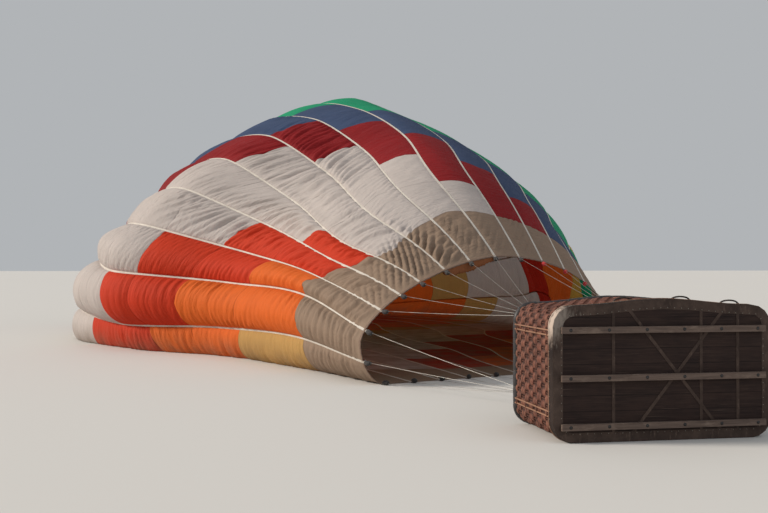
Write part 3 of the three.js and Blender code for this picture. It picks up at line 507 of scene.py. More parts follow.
def cloth_material(name, colour):
    """Thin ripstop cloth: fine wrinkles, a faint grid, seams between its panels and dust near the ground.

    The second UV coordinate counts rows of panels.
    """
    n = Nodes("cloth_" + name)
    uv, across, along = n.uv()
    mottle = n.noise(uv, 0.9, 3.0)
    streak = n.noise(n.stretch(uv, (1.2, 7.0, 1.0)), 2.0, 3.0)
    tone = n.shades(mottle, 0.3, 0.7, colour, 0.90, 1.06)
    tone = n.stain(tone, streak, 0.35, 0.75, 0.35, shade(colour, 0.78))
    seam = n.ramp(n.from_middle(along, ROW_UNIT), 0.4925, 0.4965)
    tone = n.mix(n.math("MULTIPLY", seam, 0.45), tone, shade(colour, 0.45))
    height = n.position()[3]
    dust = n.math("MULTIPLY", n.ramp(height, 0.45, 0.0), n.ramp(n.noise(uv, 2.5, 4.0), 0.35, 0.65, 0.15, 0.6))
    tone = n.mix(dust, tone, DUST)
    grid = n.math("MAXIMUM", *(n.dashes(axis, RIPSTOP, 0.88) for axis in (across, along)))
    wrinkle = n.noise(n.stretch(uv, (2.2, 9.0, 1.0)), 1.6, 4.0, 0.6)
    normal = n.bump(wrinkle, 0.045, 0.7)
    normal = n.bump(n.math("SUBTRACT", 1.0, seam), 0.004, 0.8, normal)
    normal = n.bump(grid, 0.0004, 0.35, normal)
    n.finish(tone, 0.70, normal)
    n.shader.inputs[SPECULAR].default_value = 0.15
    lit = n.add("ShaderNodeBsdfTranslucent", {"Color": tone, "Normal": normal})
    both = n.add("ShaderNodeMixShader", {0: TRANSLUCENCY, 1: n.shader.outputs[0], 2: lit.outputs[0]})
    n.set(n.output.inputs[0], both.outputs[0])
    return n.material


def webbing_material(name, colour):
    """Woven webbing tape, its ribs across and a line of stitches near each edge."""
    n = Nodes(name)
    uv, across, along = n.uv()
    ribs = n.math("SINE", n.math("MULTIPLY", along, 2 * math.pi / 0.003))
    from_edge = n.math("ABSOLUTE", n.math("SUBTRACT", n.math("ABSOLUTE", across), 0.013))
    stitch = n.math("MULTIPLY", n.math("LESS_THAN", from_edge, 0.0012), n.dashes(along, 0.006, 0.35))
    tone = n.shades(n.noise(uv, 3.0, 3.0), 0.3, 0.7, colour, 0.82, 1.05)
    return n.finish(n.mix(stitch, tone, shade(colour, 0.55)), 0.7, n.bump(ribs, 0.0006, 0.5))


def cane_material(name, colour, pale, band=None):
    """Willow and cane: each strand has its own tone, with streaks and darker nodes along it.

    The first UV coordinate counts stakes, the second one strands. Where band is set, it is the number
    of strands that pass the stakes on one side, and they get painted shade where they pass inside.
    """
    n = Nodes(name)
    _, across, along = n.uv()
    own = n.add("ShaderNodeTexWhiteNoise", {"W": n.math("FLOOR", along)}, noise_dimensions="1D").outputs[0]
    vector = n.add("ShaderNodeCombineXYZ", {0: across, 1: along, 2: 0.0}).outputs[0]
    patches = n.noise(n.stretch(vector, (0.35, 0.16, 1.0)), 1.0, 3.0, 0.6)
    streak = n.noise(n.stretch(vector, (0.9, 5.0, 1.0)), 2.0, 3.0, 0.6)
    tone = n.shades(patches, 0.35, 0.65, colour, 0.45, 1.25)
    tone = n.mix(n.math("MULTIPLY", n.ramp(own, 0.55, 1.0), 0.5), tone, pale)
    tone = n.stain(tone, streak, 0.5, 0.75, 0.55, shade(colour, 0.35))
    if band:
        # Painted shade: each strand darkens where it passes inside the wall, behind the stakes
        turns = n.math("ADD", across, n.math("FLOOR", n.math("DIVIDE", along, band)))
        swing_for_painted_shade = n.math("COSINE", n.math("MULTIPLY", turns, math.pi))
        tone = n.stain(tone, swing_for_painted_shade, 0.35, -0.8, 0.85, shade(colour, 0.16))
    fibre = n.noise(n.stretch(vector, (1.0, 30.0, 1.0)), 2.0, 2.0)
    n.shader.inputs[SPECULAR].default_value = 0.25
    return n.finish(tone, n.ramp(streak, 0.2, 0.8, 0.50, 0.75), n.bump(fibre, 0.0012, 0.6))


def board_material():
    """Dark painted planks under the floor, scuffed, with faint joints between them."""
    n = Nodes("floor_board")
    position, _, _, z = n.position()
    joint = n.ramp(n.from_middle(z, PLANK_WIDTH), 0.478, 0.492)
    grain = n.noise(n.stretch(position, (1.2, 1.0, 26.0)), 2.2, 4.0, 0.6)
    wear = n.noise(n.stretch(position, (1.0, 1.0, 2.4)), 2.6, 5.0, 0.65)
    scratch = n.noise(n.stretch(position, (1.5, 1.0, 60.0), (0, 0.12, 0)), 1.6, 2.0)
    tone = n.mix(n.ramp(wear, 0.35, 0.7), (0.019, 0.011, 0.010), (0.040, 0.024, 0.020))
    tone = n.stain(tone, grain, 0.45, 0.75, 0.5, (0.060, 0.038, 0.030))
    tone = n.stain(tone, scratch, 0.66, 0.72, 0.5, (0.110, 0.078, 0.062))
    tone = n.mix(n.math("MULTIPLY", joint, 0.8), tone, (0.012, 0.009, 0.009))
    normal = n.bump(n.math("SUBTRACT", 1.0, joint), 0.003, 0.8, n.bump(grain, 0.0010, 0.5))
    n.shader.inputs[SPECULAR].default_value = 0.15
    return n.finish(tone, n.ramp(wear, 0.3, 0.7, 0.60, 0.85), normal)


def runner_material():
    """Worn wooden runner with long grain, dents and paler rubbed edges."""
    n = Nodes("runner")
    position = n.position()[0]
    grain = n.noise(n.stretch(position, (1.5, 30.0, 30.0)), 2.0, 5.0, 0.6)
    rub = n.noise(n.stretch(position, (2.0, 6.0, 6.0)), 2.0, 4.0, 0.7)
    tone = n.mix(n.ramp(grain, 0.3, 0.7), (0.070, 0.043, 0.033), (0.150, 0.102, 0.078))
    tone = n.stain(tone, rub, 0.52, 0.70, 0.7, (0.230, 0.168, 0.130))
    return n.finish(tone, n.ramp(rub, 0.3, 0.7, 0.62, 0.85), n.bump(grain, 0.0022, 0.7))


# The hide is worn pale at the corner of the basket that is up and to the near end, and a painted highlight
# lightens the same corner
WORN_AND_LIT_CORNER = (-1.09, 0.05, 1.14)
WORN_AND_LIT_FULL, WORN_AND_LIT_REACH = 0.30, 0.46


def hide_material(name, dark, light, worn_and_lit):
    """Rawhide, dry and scuffed, worn pale and lit by a painted highlight at one corner of the basket."""
    n = Nodes(name)
    position = n.position()[0]
    patches = n.noise(position, 5.0, 5.0, 0.65)
    grain = n.noise(position, 70.0, 4.0, 0.6)
    scuff = n.noise(n.stretch(position, (3.0, 3.0, 1.0)), 9.0, 4.0, 0.7)
    tone = n.mix(n.ramp(patches, 0.35, 0.68), dark, light)
    tone = n.stain(tone, scuff, 0.56, 0.70, 0.6, shade(light, 1.7))
    # Paler towards the corner that is up and to the near end: wear there, and a painted highlight
    offset = n.add("ShaderNodeVectorMath", {0: position, 1: WORN_AND_LIT_CORNER}, operation="DISTANCE")
    reach = n.math("ADD", offset.outputs["Value"], n.math("MULTIPLY", scuff, 0.45))
    near = n.ramp(reach, WORN_AND_LIT_REACH, WORN_AND_LIT_FULL)
    tone = n.mix(n.math("MULTIPLY", near, 0.85), tone, worn_and_lit)
    n.shader.inputs[SPECULAR].default_value = 0.12
    rough = n.ramp(patches, 0.3, 0.7, 0.60, 0.88)
    return n.finish(tone, rough, n.bump(scuff, 0.002, 0.5, n.bump(grain, 0.0010, 0.6)))


def leather_material(name, colour, stitch_at=None):
    """Dark leather with pores and creases, and a row of stitches along it where stitch_at is set."""
    n = Nodes(name)
    position = n.position()[0]
    pores = n.add("ShaderNodeTexVoronoi", {"Vector": position, "Scale": 190.0}).outputs["Distance"]
    crease = n.noise(position, 16.0, 5.0, 0.7)
    tone = n.shades(crease, 0.35, 0.7, colour, 0.6, 1.5)
    tone = n.stain(tone, n.noise(position, 6.0, 4.0, 0.7), 0.55, 0.75, 0.45, shade(colour, 3.2))
    normal = n.bump(pores, 0.0006, 0.5, n.bump(crease, 0.004, 0.5))
    if stitch_at:
        _, across, along = n.uv()
        line = n.math("LESS_THAN", n.math("ABSOLUTE", n.math("SUBTRACT", across, stitch_at)), 0.012)
        stitch = n.math("MULTIPLY", line, n.dashes(along, 0.014, 0.4))
        tone = n.mix(stitch, tone, (0.20, 0.16, 0.12))
        normal = n.bump(stitch, 0.0015, 0.8, normal)
    return n.finish(tone, n.ramp(crease, 0.3, 0.7, 0.42, 0.66), normal)


def metal_material(name, colour, roughness, brushed=(1.0, 60.0, 60.0)):
    """Brushed metal with smears and faint heat and handling marks."""
    n = Nodes(name)
    position = n.position()[0]
    lines = n.noise(n.stretch(position, brushed), 4.0, 3.0, 0.6)
    smear = n.noise(position, 9.0, 5.0, 0.65)
    tone = n.shades(smear, 0.35, 0.7, colour, 0.72, 1.08)
    tone = n.stain(tone, lines, 0.4, 0.7, 0.25, shade(colour, 0.6))
    rough = n.ramp(smear, 0.3, 0.7, roughness * 0.75, roughness * 1.3)
    rough = n.math("ADD", rough, n.math("MULTIPLY", lines, 0.08))
    return n.finish(tone, rough, n.bump(lines, 0.0003, 0.4), 1.0)


def rope_material(name, colour):
    """Laid rope: fibres across its strands, soiled in patches."""
    n = Nodes(name)
    _, across, along = n.uv()
    twist = n.math("ADD", n.math("MULTIPLY", across, 3.0), n.math("DIVIDE", along, 0.030))
    fibre = n.math("SINE", n.math("MULTIPLY", twist, 2 * math.pi * 5))
    soil = n.noise(n.position()[0], 24.0, 4.0, 0.6)
    tone = n.shades(soil, 0.35, 0.7, colour, 0.6, 1.3)
    return n.finish(tone, 0.85, n.bump(fibre, 0.0008, 0.6, n.bump(soil, 0.001, 0.5)))


def cover_material(name, colour):
    """Soft padded cover with gathers along it and a rubbed nap."""
    n = Nodes(name)
    position = n.position()[0]
    gather = n.noise(position, 60.0, 3.0, 0.6)
    nap = n.noise(position, 160.0, 3.0)
    n.shader.inputs["Sheen Weight"].default_value = 0.08
    tone = n.shades(gather, 0.3, 0.7, colour, 0.65, 1.2)
    return n.finish(tone, 0.8, n.bump(gather, 0.004, 0.7, n.bump(nap, 0.0005, 0.5)))


def grip_material(name, colour):
    """Moulded grip with mottled colour and a fine uneven grain."""
    n = Nodes(name)
    position = n.position()[0]
    grain = n.noise(position, 180.0, 4.0, 0.6)
    tone = n.shades(n.noise(position, 22.5, 4.0, 0.6), 0.3, 0.7, colour, 0.75, 1.25)
    return n.finish(tone, n.ramp(grain, 0.2, 0.8, 0.36, 0.5175), n.bump(grain, 0.001, 0.5))


def gauge_material(name, colour):
    """White gauge face, slightly yellowed, behind a clear cover."""
    n = Nodes(name)
    n.shader.inputs["Coat Weight"].default_value = 0.6
    return n.finish(n.shades(n.noise(n.position()[0], 120.0, 3.0), 0.3, 0.7, colour, 0.88, 1.0), 0.35)


STRANDS_PER_BAND = 8
cloths = {name: cloth_material(name, colour) for name, colour in CLOTH_COLOURS.items()}
tape_cloth = webbing_material("load_tape", (0.62, 0.56, 0.49))
hem_cloth = webbing_material("hem", (0.20, 0.125, 0.085))
grey_web = webbing_material("cylinder_strap", (0.050, 0.048, 0.050))
wicker = cane_material("wicker", (0.145, 0.050, 0.032), (0.430, 0.200, 0.120), STRANDS_PER_BAND)
stake_cane = cane_material("stake_cane", (0.130, 0.048, 0.032), (0.260, 0.120, 0.080))
pale_cane = cane_material("pale_cane", (0.400, 0.200, 0.120), (0.620, 0.430, 0.300))
# The hides, straps and edge bead are paler at one corner of the basket: wear, and a painted highlight
hide = hide_material("base_hide", (0.015, 0.010, 0.009), (0.036, 0.025, 0.021), (0.520, 0.420, 0.350))
strap_hide = hide_material("floor_straps", (0.042, 0.028, 0.023), (0.090, 0.062, 0.050), (0.28, 0.235, 0.20))
bead_hide = hide_material("edge_bead", (0.150, 0.078, 0.050), (0.290, 0.165, 0.110), (0.600, 0.500, 0.420))
black_leather = leather_material("black_leather", (0.016, 0.013, 0.014), 0.62)
leather_cord = leather_material("leather_cord", (0.045, 0.030, 0.022))
cover_leather = leather_material("upright_cover", (0.024, 0.019, 0.018), 0.30)
black_cover = cover_material("black_cover", (0.022, 0.019, 0.019))
red_cover = cover_material("red_cover", (0.520, 0.020, 0.022))
rope = rope_material("rope", (0.055, 0.040, 0.034))
wire_steel = metal_material("wire_steel", (0.45, 0.43, 0.40), 0.42)
frame_steel = metal_material("frame_steel", (0.52, 0.52, 0.53), 0.34)
dark_steel = metal_material("dark_steel", (0.085, 0.080, 0.080), 0.45)
tack_metal = metal_material("tack_metal", (0.30, 0.27, 0.23), 0.5)
brushed_aluminium = metal_material("brushed_aluminium", (0.46, 0.48, 0.50), 0.38, (40.0, 1.0, 40.0))
brass = metal_material("brass", (0.48, 0.33, 0.13), 0.4)
gimbal_steel = metal_material("gimbal_steel", (0.40, 0.40, 0.41), 0.40)
burner_steel = metal_material("burner_steel", (0.36, 0.36, 0.37), 0.42)
crown_steel = metal_material("crown_steel", (0.50, 0.50, 0.51), 0.32)
can_steel = metal_material("can_steel", (0.50, 0.49, 0.48), 0.30, (2.0, 50.0, 50.0))
coil_steel = metal_material("coil_steel", (0.30, 0.25, 0.21), 0.45)
gauge_face = gauge_material("gauge_face", (0.62, 0.62, 0.60))
red_grip = grip_material("red_grip", (0.40, 0.020, 0.018))


def cloth_name(gore, row):
    """Colour of one panel. The first row is the flame-proof band round the mouth."""
    return "tan" if row == 0 else pattern[(gore + row) % len(pattern)]


# Folds of gores 1 to 16: depth of the folds beside the tapes, how far they run along the gore for each
# metre across it, depth of the folds from tape to tape, and how far each panel swells between its seams
FOLDS = (
    (0.020, 0.05, 0.012, 0.030),
    (0.030, 0.15, 0.012, 0.050),
    (0.026, 0.50, 0.030, 0.040),
    (0.020, 0.85, 0.048, 0.022),
    (0.018, 0.95, 0.052, 0.012),
    (0.020, 0.55, 0.056, 0.010),
    (0.022, -0.20, 0.050, 0.008),
    (0.006, -0.10, 0.008, 0.006),
    (0.005, 0.0, 0.005, 0.006),
    (0.004, 0.0, 0.004, 0.006),
    (0.004, 0.0, 0.004, 0.006),
    (0.005, 0.0, 0.006, 0.008),
    (0.008, 0.1, 0.010, 0.012),
    (0.012, 0.2, 0.016, 0.020),
    (0.016, 0.3, 0.020, 0.030),
    (0.020, 0.1, 0.018, 0.035),
)
# Depth of the gathers of the flame-proof band, by gore
BAND_GATHERS = {3: 0.018, 4: 0.022, 5: 0.032, 6: 0.040, 7: 0.030, 8: 0.010, 9: 0.014, 10: 0.010}
GATHER_REACH, GATHER_FADE = 0.09, 0.22
FINE_FOLD, FINE_FOLD_2 = 0.145, 0.235
LONG_FOLD, LONG_FOLD_2 = 0.46, 0.19
BAND_FOLD = 0.13
SWELL_FROM = (1.2, 3.0)
BAND_END = (0.75, 1.25)
MOUTH_FADE = (0.0, 0.25)
TOP_FADE = (18.5, 19.5)


def pleats(phase):
    """Rounded ridges with narrow valleys between them, from -1 to 1."""
    return 2 * np.abs(np.sin(math.pi * phase)) ** 0.7 - 1


def fold_height(gore, share, width, along, row):
    """Folds of the cloth of one gore, outward, at a share of the way from its lower tape to its upper one."""
    gather, slant, long, pillow = FOLDS[gore]
    drift, patch, coarse = Noise(100 + gore), Noise(200 + gore), Noise(300 + gore)
    across = share * width
    middle = np.sin(math.pi * np.clip(share, 0, 1))
    beside = np.minimum(across, width - across)
    fade = np.exp(-(beside - GATHER_REACH) / GATHER_FADE)
    pull = np.where(beside < GATHER_REACH, beside / GATHER_REACH, fade)
    line = along + slant * across
    bend = 0.10 * drift(across * 1.6, line * 1.3)
    fine = pleats((line + bend) / FINE_FOLD + 0.4 * patch(line * 2.0, share * 2 + 9))
    fine += 0.6 * pleats((line - bend) / FINE_FOLD_2 + 0.2)
    height = gather * pull * fine * np.clip(0.6 + 0.7 * patch(line * 0.8 + 11, share * 1.5), 0, 1.2)
    sweep = line + 0.25 * coarse(across * 0.9 + 3, line * 0.7)
    deep = pleats(sweep / LONG_FOLD) + 0.6 * pleats(sweep / LONG_FOLD_2 + 0.5 * coarse(line * 0.5, 4.0))
    where = np.clip(0.55 + 0.9 * coarse(line * 0.45 + 20, share * 1.2), 0, 1.3)
    height += long * middle ** 0.8 * deep * where
    swell = 1 - np.abs(2 * np.mod(row, 1.0) - 1) ** 4
    height += pillow * (swell - 0.6) * middle ** 0.5 * smoothstep(along, *SWELL_FROM)
    if gore in BAND_GATHERS:
        band = BAND_GATHERS[gore] * (1 - smoothstep(along, *BAND_END)) * middle ** 0.5
        ripple = pleats((across - 0.7 * along) / BAND_FOLD + 0.8 * drift(across * 1.7, along * 0.5))
        height += band * ripple * np.clip(0.7 + 0.9 * patch(across * 2.5, along), 0.1, 1.4)
    return height * smoothstep(along, *MOUTH_FADE) * (1 - smoothstep(along, *TOP_FADE) * 0.7)


def lobe_height(gore, share, along):
    side = lerp(1, FLAT_LOBE, smoothstep(gore + share, FULL_LOBE_TAPE, FLAT_LOBE_TAPE))
    return section_value("lobe", along) * side * 4 * share * (1 - share)


# Steps of the cloth's mesh: how many across a gore, and their lengths along it near the mouth and
# far from it
NEAR_STEPS = (36, 0.023, 0.080)
FAR_STEPS = (16, 0.055, 0.110)
FLOOR_STEPS = (8, 0.140, 0.200)
LAST_NEAR_GORE = 6
DENSE_REACH = 12.5


def gore_steps(gore):
    if gore <= LAST_NEAR_GORE:
        return NEAR_STEPS
    return FAR_STEPS if gore < LAST_ARCH_TAPE or gore == GORE_COUNT - 1 else FLOOR_STEPS


def seam_at(row, us):
    """Distance from the mouth at which a row of panels begins, for each tape number."""
    if row in (0, ROW_COUNT):
        return np.full_like(us, TOP_ALONG if row else 0)
    own = np.interp(us - 0.5, SEAMS["gore"], SEAMS[min(row, LAST_OWN_SEAM)], period=GORE_COUNT)
    own = own + max(0, row - LAST_OWN_SEAM) * EVEN_STEP
    even = EVEN_FIRST + (row - 1) * EVEN_STEP
    return lerp(own, even, smoothstep(row, *EVEN_ROWS))


def panel_lines(us, fine, coarse):
    """Lines of a gore's mesh: each column's distances from the mouth, and where each line lies in its row."""
    lines, marks, rows = [seam_at(0, us)], [0.0], []
    for row in range(ROW_COUNT):
        start, end = seam_at(row, us), seam_at(row + 1, us)
        size = fine if start.mean() < DENSE_REACH else coarse
        count = math.ceil((end - start).mean() / size)
        for k in range(1, count + 1):
            lines.append(lerp(start, end, k / count))
            marks.append(row + k / count)
            rows.append(row)
    return np.array(lines), np.array(marks), rows


def add_gore(gore):
    """One gore as a single sheet of cloth, from the hem to the rim of the top opening."""
    across_steps, fine, coarse = gore_steps(gore)
    share = np.concatenate([[0], np.linspace(0, 1, across_steps + 1), [1]])
    us = gore + share
    lines, marks, row_of = panel_lines(us, fine, coarse)
    grid = surface_frame(us, grid_along)
    point, across, normal = (at_lines(value, lines) for value in grid[:3])
    across, normal = unit(across), unit(normal)
    widths = np.linalg.norm(grid[0][:, -1] - grid[0][:, 0], axis=-1)
    width = np.interp(lines, grid_along, widths)
    height = np.zeros(lines.shape)
    if gore < LAST_ARCH_TAPE:
        height += lobe_height(gore, share[None], lines)
        height += fold_height(gore, share[None], width, lines, marks[:, None])
        height[:, [0, 1, -2, -1]] = 0
    cover = np.zeros(len(share))
    cover[1], cover[-2] = TAPE_COVER, -TAPE_COVER
    point = point + across * cover[None, :, None] + normal * height[..., None]
    point[..., 2] = np.maximum(point[..., 2], CLOTH_LIFT)
    uv = pairs((share[None] - 0.5) * width, marks[:, None] * ROW_UNIT)
    names = [cloth_name(gore, row) for row in row_of]
    used = sorted(set(names))
    face_slots = np.repeat([used.index(name) for name in names], len(share) - 1)
    number = f"{gore + 1:02d}"
    cloth = add_piece(f"cloth_gore_{number}", point, grid_faces(*lines.shape), [cloths[c] for c in used], uv,
                      face_slots, replaces=[f"gore_{number}"])


for gore in range(GORE_COUNT):
    add_gore(gore)

# Load tapes, sewn over the seams between the gores and on across the top opening
CAP_STATIONS = np.linspace(0.02, 0.86, 12)
TAPE_STATIONS = 320
TAPE_LIFT = 0.001
CAP_STEP = 0.1
NEAR_GROUND = 0.02


def cap_point(u, share):
    """Place on the top opening, at a share of the way from its rim to its middle."""
    rim = surface([u], [TOP_ALONG])[0, 0]
    apex = on_axis(np.array(APEX_LATERAL), np.array(TOP_ALONG), APEX_HEIGHT)
    return lerp(rim, apex, share) + AXIS * APEX_RISE * math.sin(share * math.pi / 2)


def flat_strip(shapes, points, across, normals, half, thick, lift):
    """Closed flat strip along a line of points."""
    low = points + normals * lift
    high = low + normals * thick
    side = across * half
    sections = np.stack([low - side, low + side, high + side, high - side], axis=1)
    uv = pairs(np.array([-half, half, half, -half])[None], lengths_along(points)[:, None])
    shapes.tube(sections, uv=uv)


def add_tape(tape):
    along = np.linspace(0, TOP_ALONG, TAPE_STATIONS)
    point, across, normal, _ = (value[:, 0] for value in surface_frame([tape], along))
    hem_point, hem_across, hem_normal, _ = hem_points([tape], HEM_WIDTH)
    cap, before, after = (
        np.array([cap_point(tape + step, q) for q in CAP_STATIONS]) for step in (0, -CAP_STEP, CAP_STEP)
    )
    inward = unit(np.gradient(cap, axis=0))
    cap_normal = unit(np.cross(unit(after - before), inward))
    point = np.concatenate([hem_point, point, cap])
    across = np.concatenate([hem_across, across, np.cross(inward, cap_normal)])
    normal = np.concatenate([hem_normal, normal, cap_normal])
    point[:, 2] = np.maximum(point[:, 2], CLOTH_LIFT)
    normal[point[:, 2] < NEAR_GROUND] = (0, 0, 1)
    shapes = Shapes()
    flat_strip(shapes, point, across, normal, TAPE_HALF, TAPE_THICK, TAPE_LIFT)
    shapes.piece(f"load_tape_{tape + 1:02d}", [tape_cloth], "tape", replaces=["load_tapes"], smooth=False)


for tape in range(GORE_COUNT):
    add_tape(tape)

# Hem round the mouth: a doubled band of webbing
HEM_STEPS = 14
HEM_HALF_THICK = 0.005
HEM_OVERLAP = 0.004
HEM_SIDES = (-0.019, 0.0, 0.019, 0.013, -0.013)


def add_hem():
    us = np.arange(GORE_COUNT * HEM_STEPS) / HEM_STEPS
    front, _, normal, _ = hem_points(us, HEM_WIDTH)
    back, _, back_normal, _ = hem_points(us, -HEM_OVERLAP)
    ruffle = 0.004 * np.sin(2 * math.pi * us * 5) + 0.003 * Noise(51)(us * 3, 0)
    front = front + normal * ruffle[:, None]
    out, back_out = normal * HEM_HALF_THICK, back_normal * HEM_HALF_THICK
    sections = np.stack([front - out, front, front + out, back + back_out, back - back_out], axis=1)
    sections[..., 2] = np.maximum(sections[..., 2], ON_GROUND)
    lengths = lengths_along(front)
    lengths = np.append(lengths, lengths[-1] + 0.05)
    shapes = Shapes()
    shapes.tube(sections, True, pairs(np.array(HEM_SIDES)[None], lengths[:, None]))
    shapes.piece("hem_band", [hem_cloth], "tape", replaces=["load_tapes"])


add_hem()

# Lip of the mouth, where the cloth is lifted: the flame-proof band is turned in under the hem
LIP_TAPES = (5.9, 8.1)
LIP_STEPS = 90
LIP_DROP = 0.135
LIP_LENGTH = 1.9
LIP_PROFILE = (
    (0.0, 0.0), (0.012, 0.25), (0.020, 0.55), (0.016, 0.85), (0.0, 1.0), (-0.024, 0.85), (-0.030, 0.4),
)


def add_lip():
    us = np.linspace(*LIP_TAPES, LIP_STEPS)
    point, _, normal, forward = hem_points(us, HEM_WIDTH * 0.7)
    share = (us - LIP_TAPES[0]) / (LIP_TAPES[1] - LIP_TAPES[0])
    drop = LIP_DROP * np.sin(math.pi * share ** 0.8) ** 0.55 * (1 + 0.12 * Noise(61)(us * 7, 1))
    ripple = 0.006 * np.sin(2 * math.pi * us * 9) + 0.005 * Noise(62)(us * 16, 2)
    start = point - normal * 0.004
    rows = np.array([
        start - forward * (out + ripple * down)[:, None] + np.multiply.outer(drop * down, DOWN)
        for out, down in LIP_PROFILE
    ])
    uv = pairs(np.linspace(0, LIP_LENGTH, LIP_STEPS)[None], np.linspace(0.3, 0.45, len(rows))[:, None])
    shapes = Shapes()
    shapes.sheet(rows, uv)
    lip = shapes.piece("mouth_lip", [cloths["lip"]], "cloth_orange")


add_lip()

# Parachute valve: a disc of cloth with its own short folds, pressed against the tapes from inside
VALVE_BELOW = 0.016
VALVE_RINGS = (0.03, 0.12, 0.24, 0.36, 0.48, 0.60, 0.72, 0.84, 0.94, 1.0)
VALVE_STEPS = 192
VALVE_SAG = 0.035


def add_valve():
    us = np.arange(VALVE_STEPS + 1) * GORE_COUNT / VALVE_STEPS
    rings = np.array([[cap_point(u, q) for u in us] for q in VALVE_RINGS])
    share = np.array(VALVE_RINGS)[:, None]
    between = np.abs(np.mod(us, 1.0) - 0.5) * 2
    sag = VALVE_BELOW + VALVE_SAG * (1 - between ** 2)[None] * (1 - share)
    sag = sag + 0.006 * (1 + Noise(71)(us[None] * 4, share * 9))
    sag[-1] = VALVE_BELOW
    rings = rings - AXIS * sag[..., None]
    radius = np.linalg.norm(rings - rings[-1:, :1], axis=-1)
    shapes = Shapes()
    shapes.sheet(rings, pairs(us[None] * 0.3, radius + 0.7))
    valve = shapes.piece("valve_cloth", [cloths["white"]], "cloth_cream", "valve", ["parachute_valve"])


add_valve()

# Flying wires, each with a karabiner through the loop at the end of its load tape
BURNER_Y = 2.050
BASKET_AXIS_Z = 0.635
FRAME_HALF_WIDTH, FRAME_HALF_DEPTH, FRAME_TUBE = 0.520, 0.425, 0.040
LUG = 0.060
SHACKLE_WIDTH, SHACKLE_DEPTH, SHACKLE_PITCH = 0.084, 0.024, 0.013
SHACKLE_GAP = 0.0003
WIRE_RADIUS = 0.0028
WIRE_SAG = 0.012
WIRES_PER_CORNER = 6
KARABINER_LENGTH, KARABINER_HALF_WIDTH, KARABINER_BAR = 0.095, 0.026, 0.0055
GATE_HALF = 0.016
LOOP_LENGTH, LOOP_RADIUS = 0.050, 0.010
SLEEVE_LENGTH, SLEEVE_RADIUS = 0.130, 0.033
SLEEVE_DROP = 0.012
RED_SLEEVES = range(10, 15)
WIRE_CORNERS = (
    ("near_low", -1, -1, 21),
    ("near_high", -1, 1, 3),
    ("far_high", 1, 1, 9),
    ("far_low", 1, -1, 15),
)
NUT = ((0.011, 0), (0.011, 0.010))


def tape_end(tape):
    """End of a load tape, just past the hem, and the direction in which the tape goes on."""
    point, _, normal, forward = hem_points([tape % GORE_COUNT], HEM_WIDTH)
    return point[0] - normal[0] * SHELL / 2, -forward[0], normal[0]


def sideways_of(direction, normal):
    side = unit(np.cross(direction, normal))
    return side, np.cross(side, direction)


def add_karabiner(name, tip, inward, normal, tape):
    """Pear-shaped karabiner with a screw sleeve on its gate, and its soft cover."""
    side, _ = sideways_of(inward, normal)
    angle = circle(20)
    half = KARABINER_LENGTH / 2
    wide = KARABINER_HALF_WIDTH * (1 - 0.22 * np.cos(angle))
    ring = (tip + inward * (half - KARABINER_BAR))[None] - inward * half * np.cos(angle)[:, None]
    ring = ring + side * (wide * np.sin(angle))[:, None]
    ring[:, 2] = np.maximum(ring[:, 2], KARABINER_BAR)
    shapes = Shapes()
    shapes.rod(ring, KARABINER_BAR, closed=True, up=np.cross(inward, side))
    gate = tip + inward * half + side * KARABINER_HALF_WIDTH
    shapes.rod([gate - inward * GATE_HALF, gate + inward * GATE_HALF], KARABINER_BAR * 1.5, up=normal)
    shapes.piece(f"karabiner_{name}", [dark_steel], "steel")
    along = np.linspace(0, 1, 9)
    gathers = 1 + 0.08 * np.sin(along * 31 + tape)
    radius = SLEEVE_RADIUS * np.sin(math.pi * (0.06 + 0.88 * along)) ** 0.45 * gathers
    path = tip + inward * (0.02 + along * SLEEVE_LENGTH)[:, None]
    path[:, 2] = np.maximum(path[:, 2] - SLEEVE_DROP * np.sin(math.pi * along), SLEEVE_RADIUS * 1.1)
    sleeve = Shapes()
    sleeve.rod(path, radius, 14, up=normal)
    covered = sleeve.piece(f"cover_{name}", [red_cover if tape in RED_SLEEVES else black_cover], "leather")


def add_tape_loop(shapes, start, direction, normal):
    """The tape's end folded back on itself round the karabiner."""
    side, up = sideways_of(direction, normal)
    angle = np.linspace(-math.pi / 2, math.pi / 2, 7)[:, None]
    reach = LOOP_LENGTH - LOOP_RADIUS + LOOP_RADIUS * np.cos(angle)
    bend = start + direction * reach + up * LOOP_RADIUS * np.sin(angle)
    path = np.concatenate([[start - up * 0.004], bend, [start + up * 0.004]])
    across = np.broadcast_to(side, path.shape)
    outward = np.cross(across, unit(np.gradient(path, axis=0)))
    flat_strip(shapes, path, across, outward, TAPE_HALF * 0.8, TAPE_THICK, -TAPE_THICK / 2)


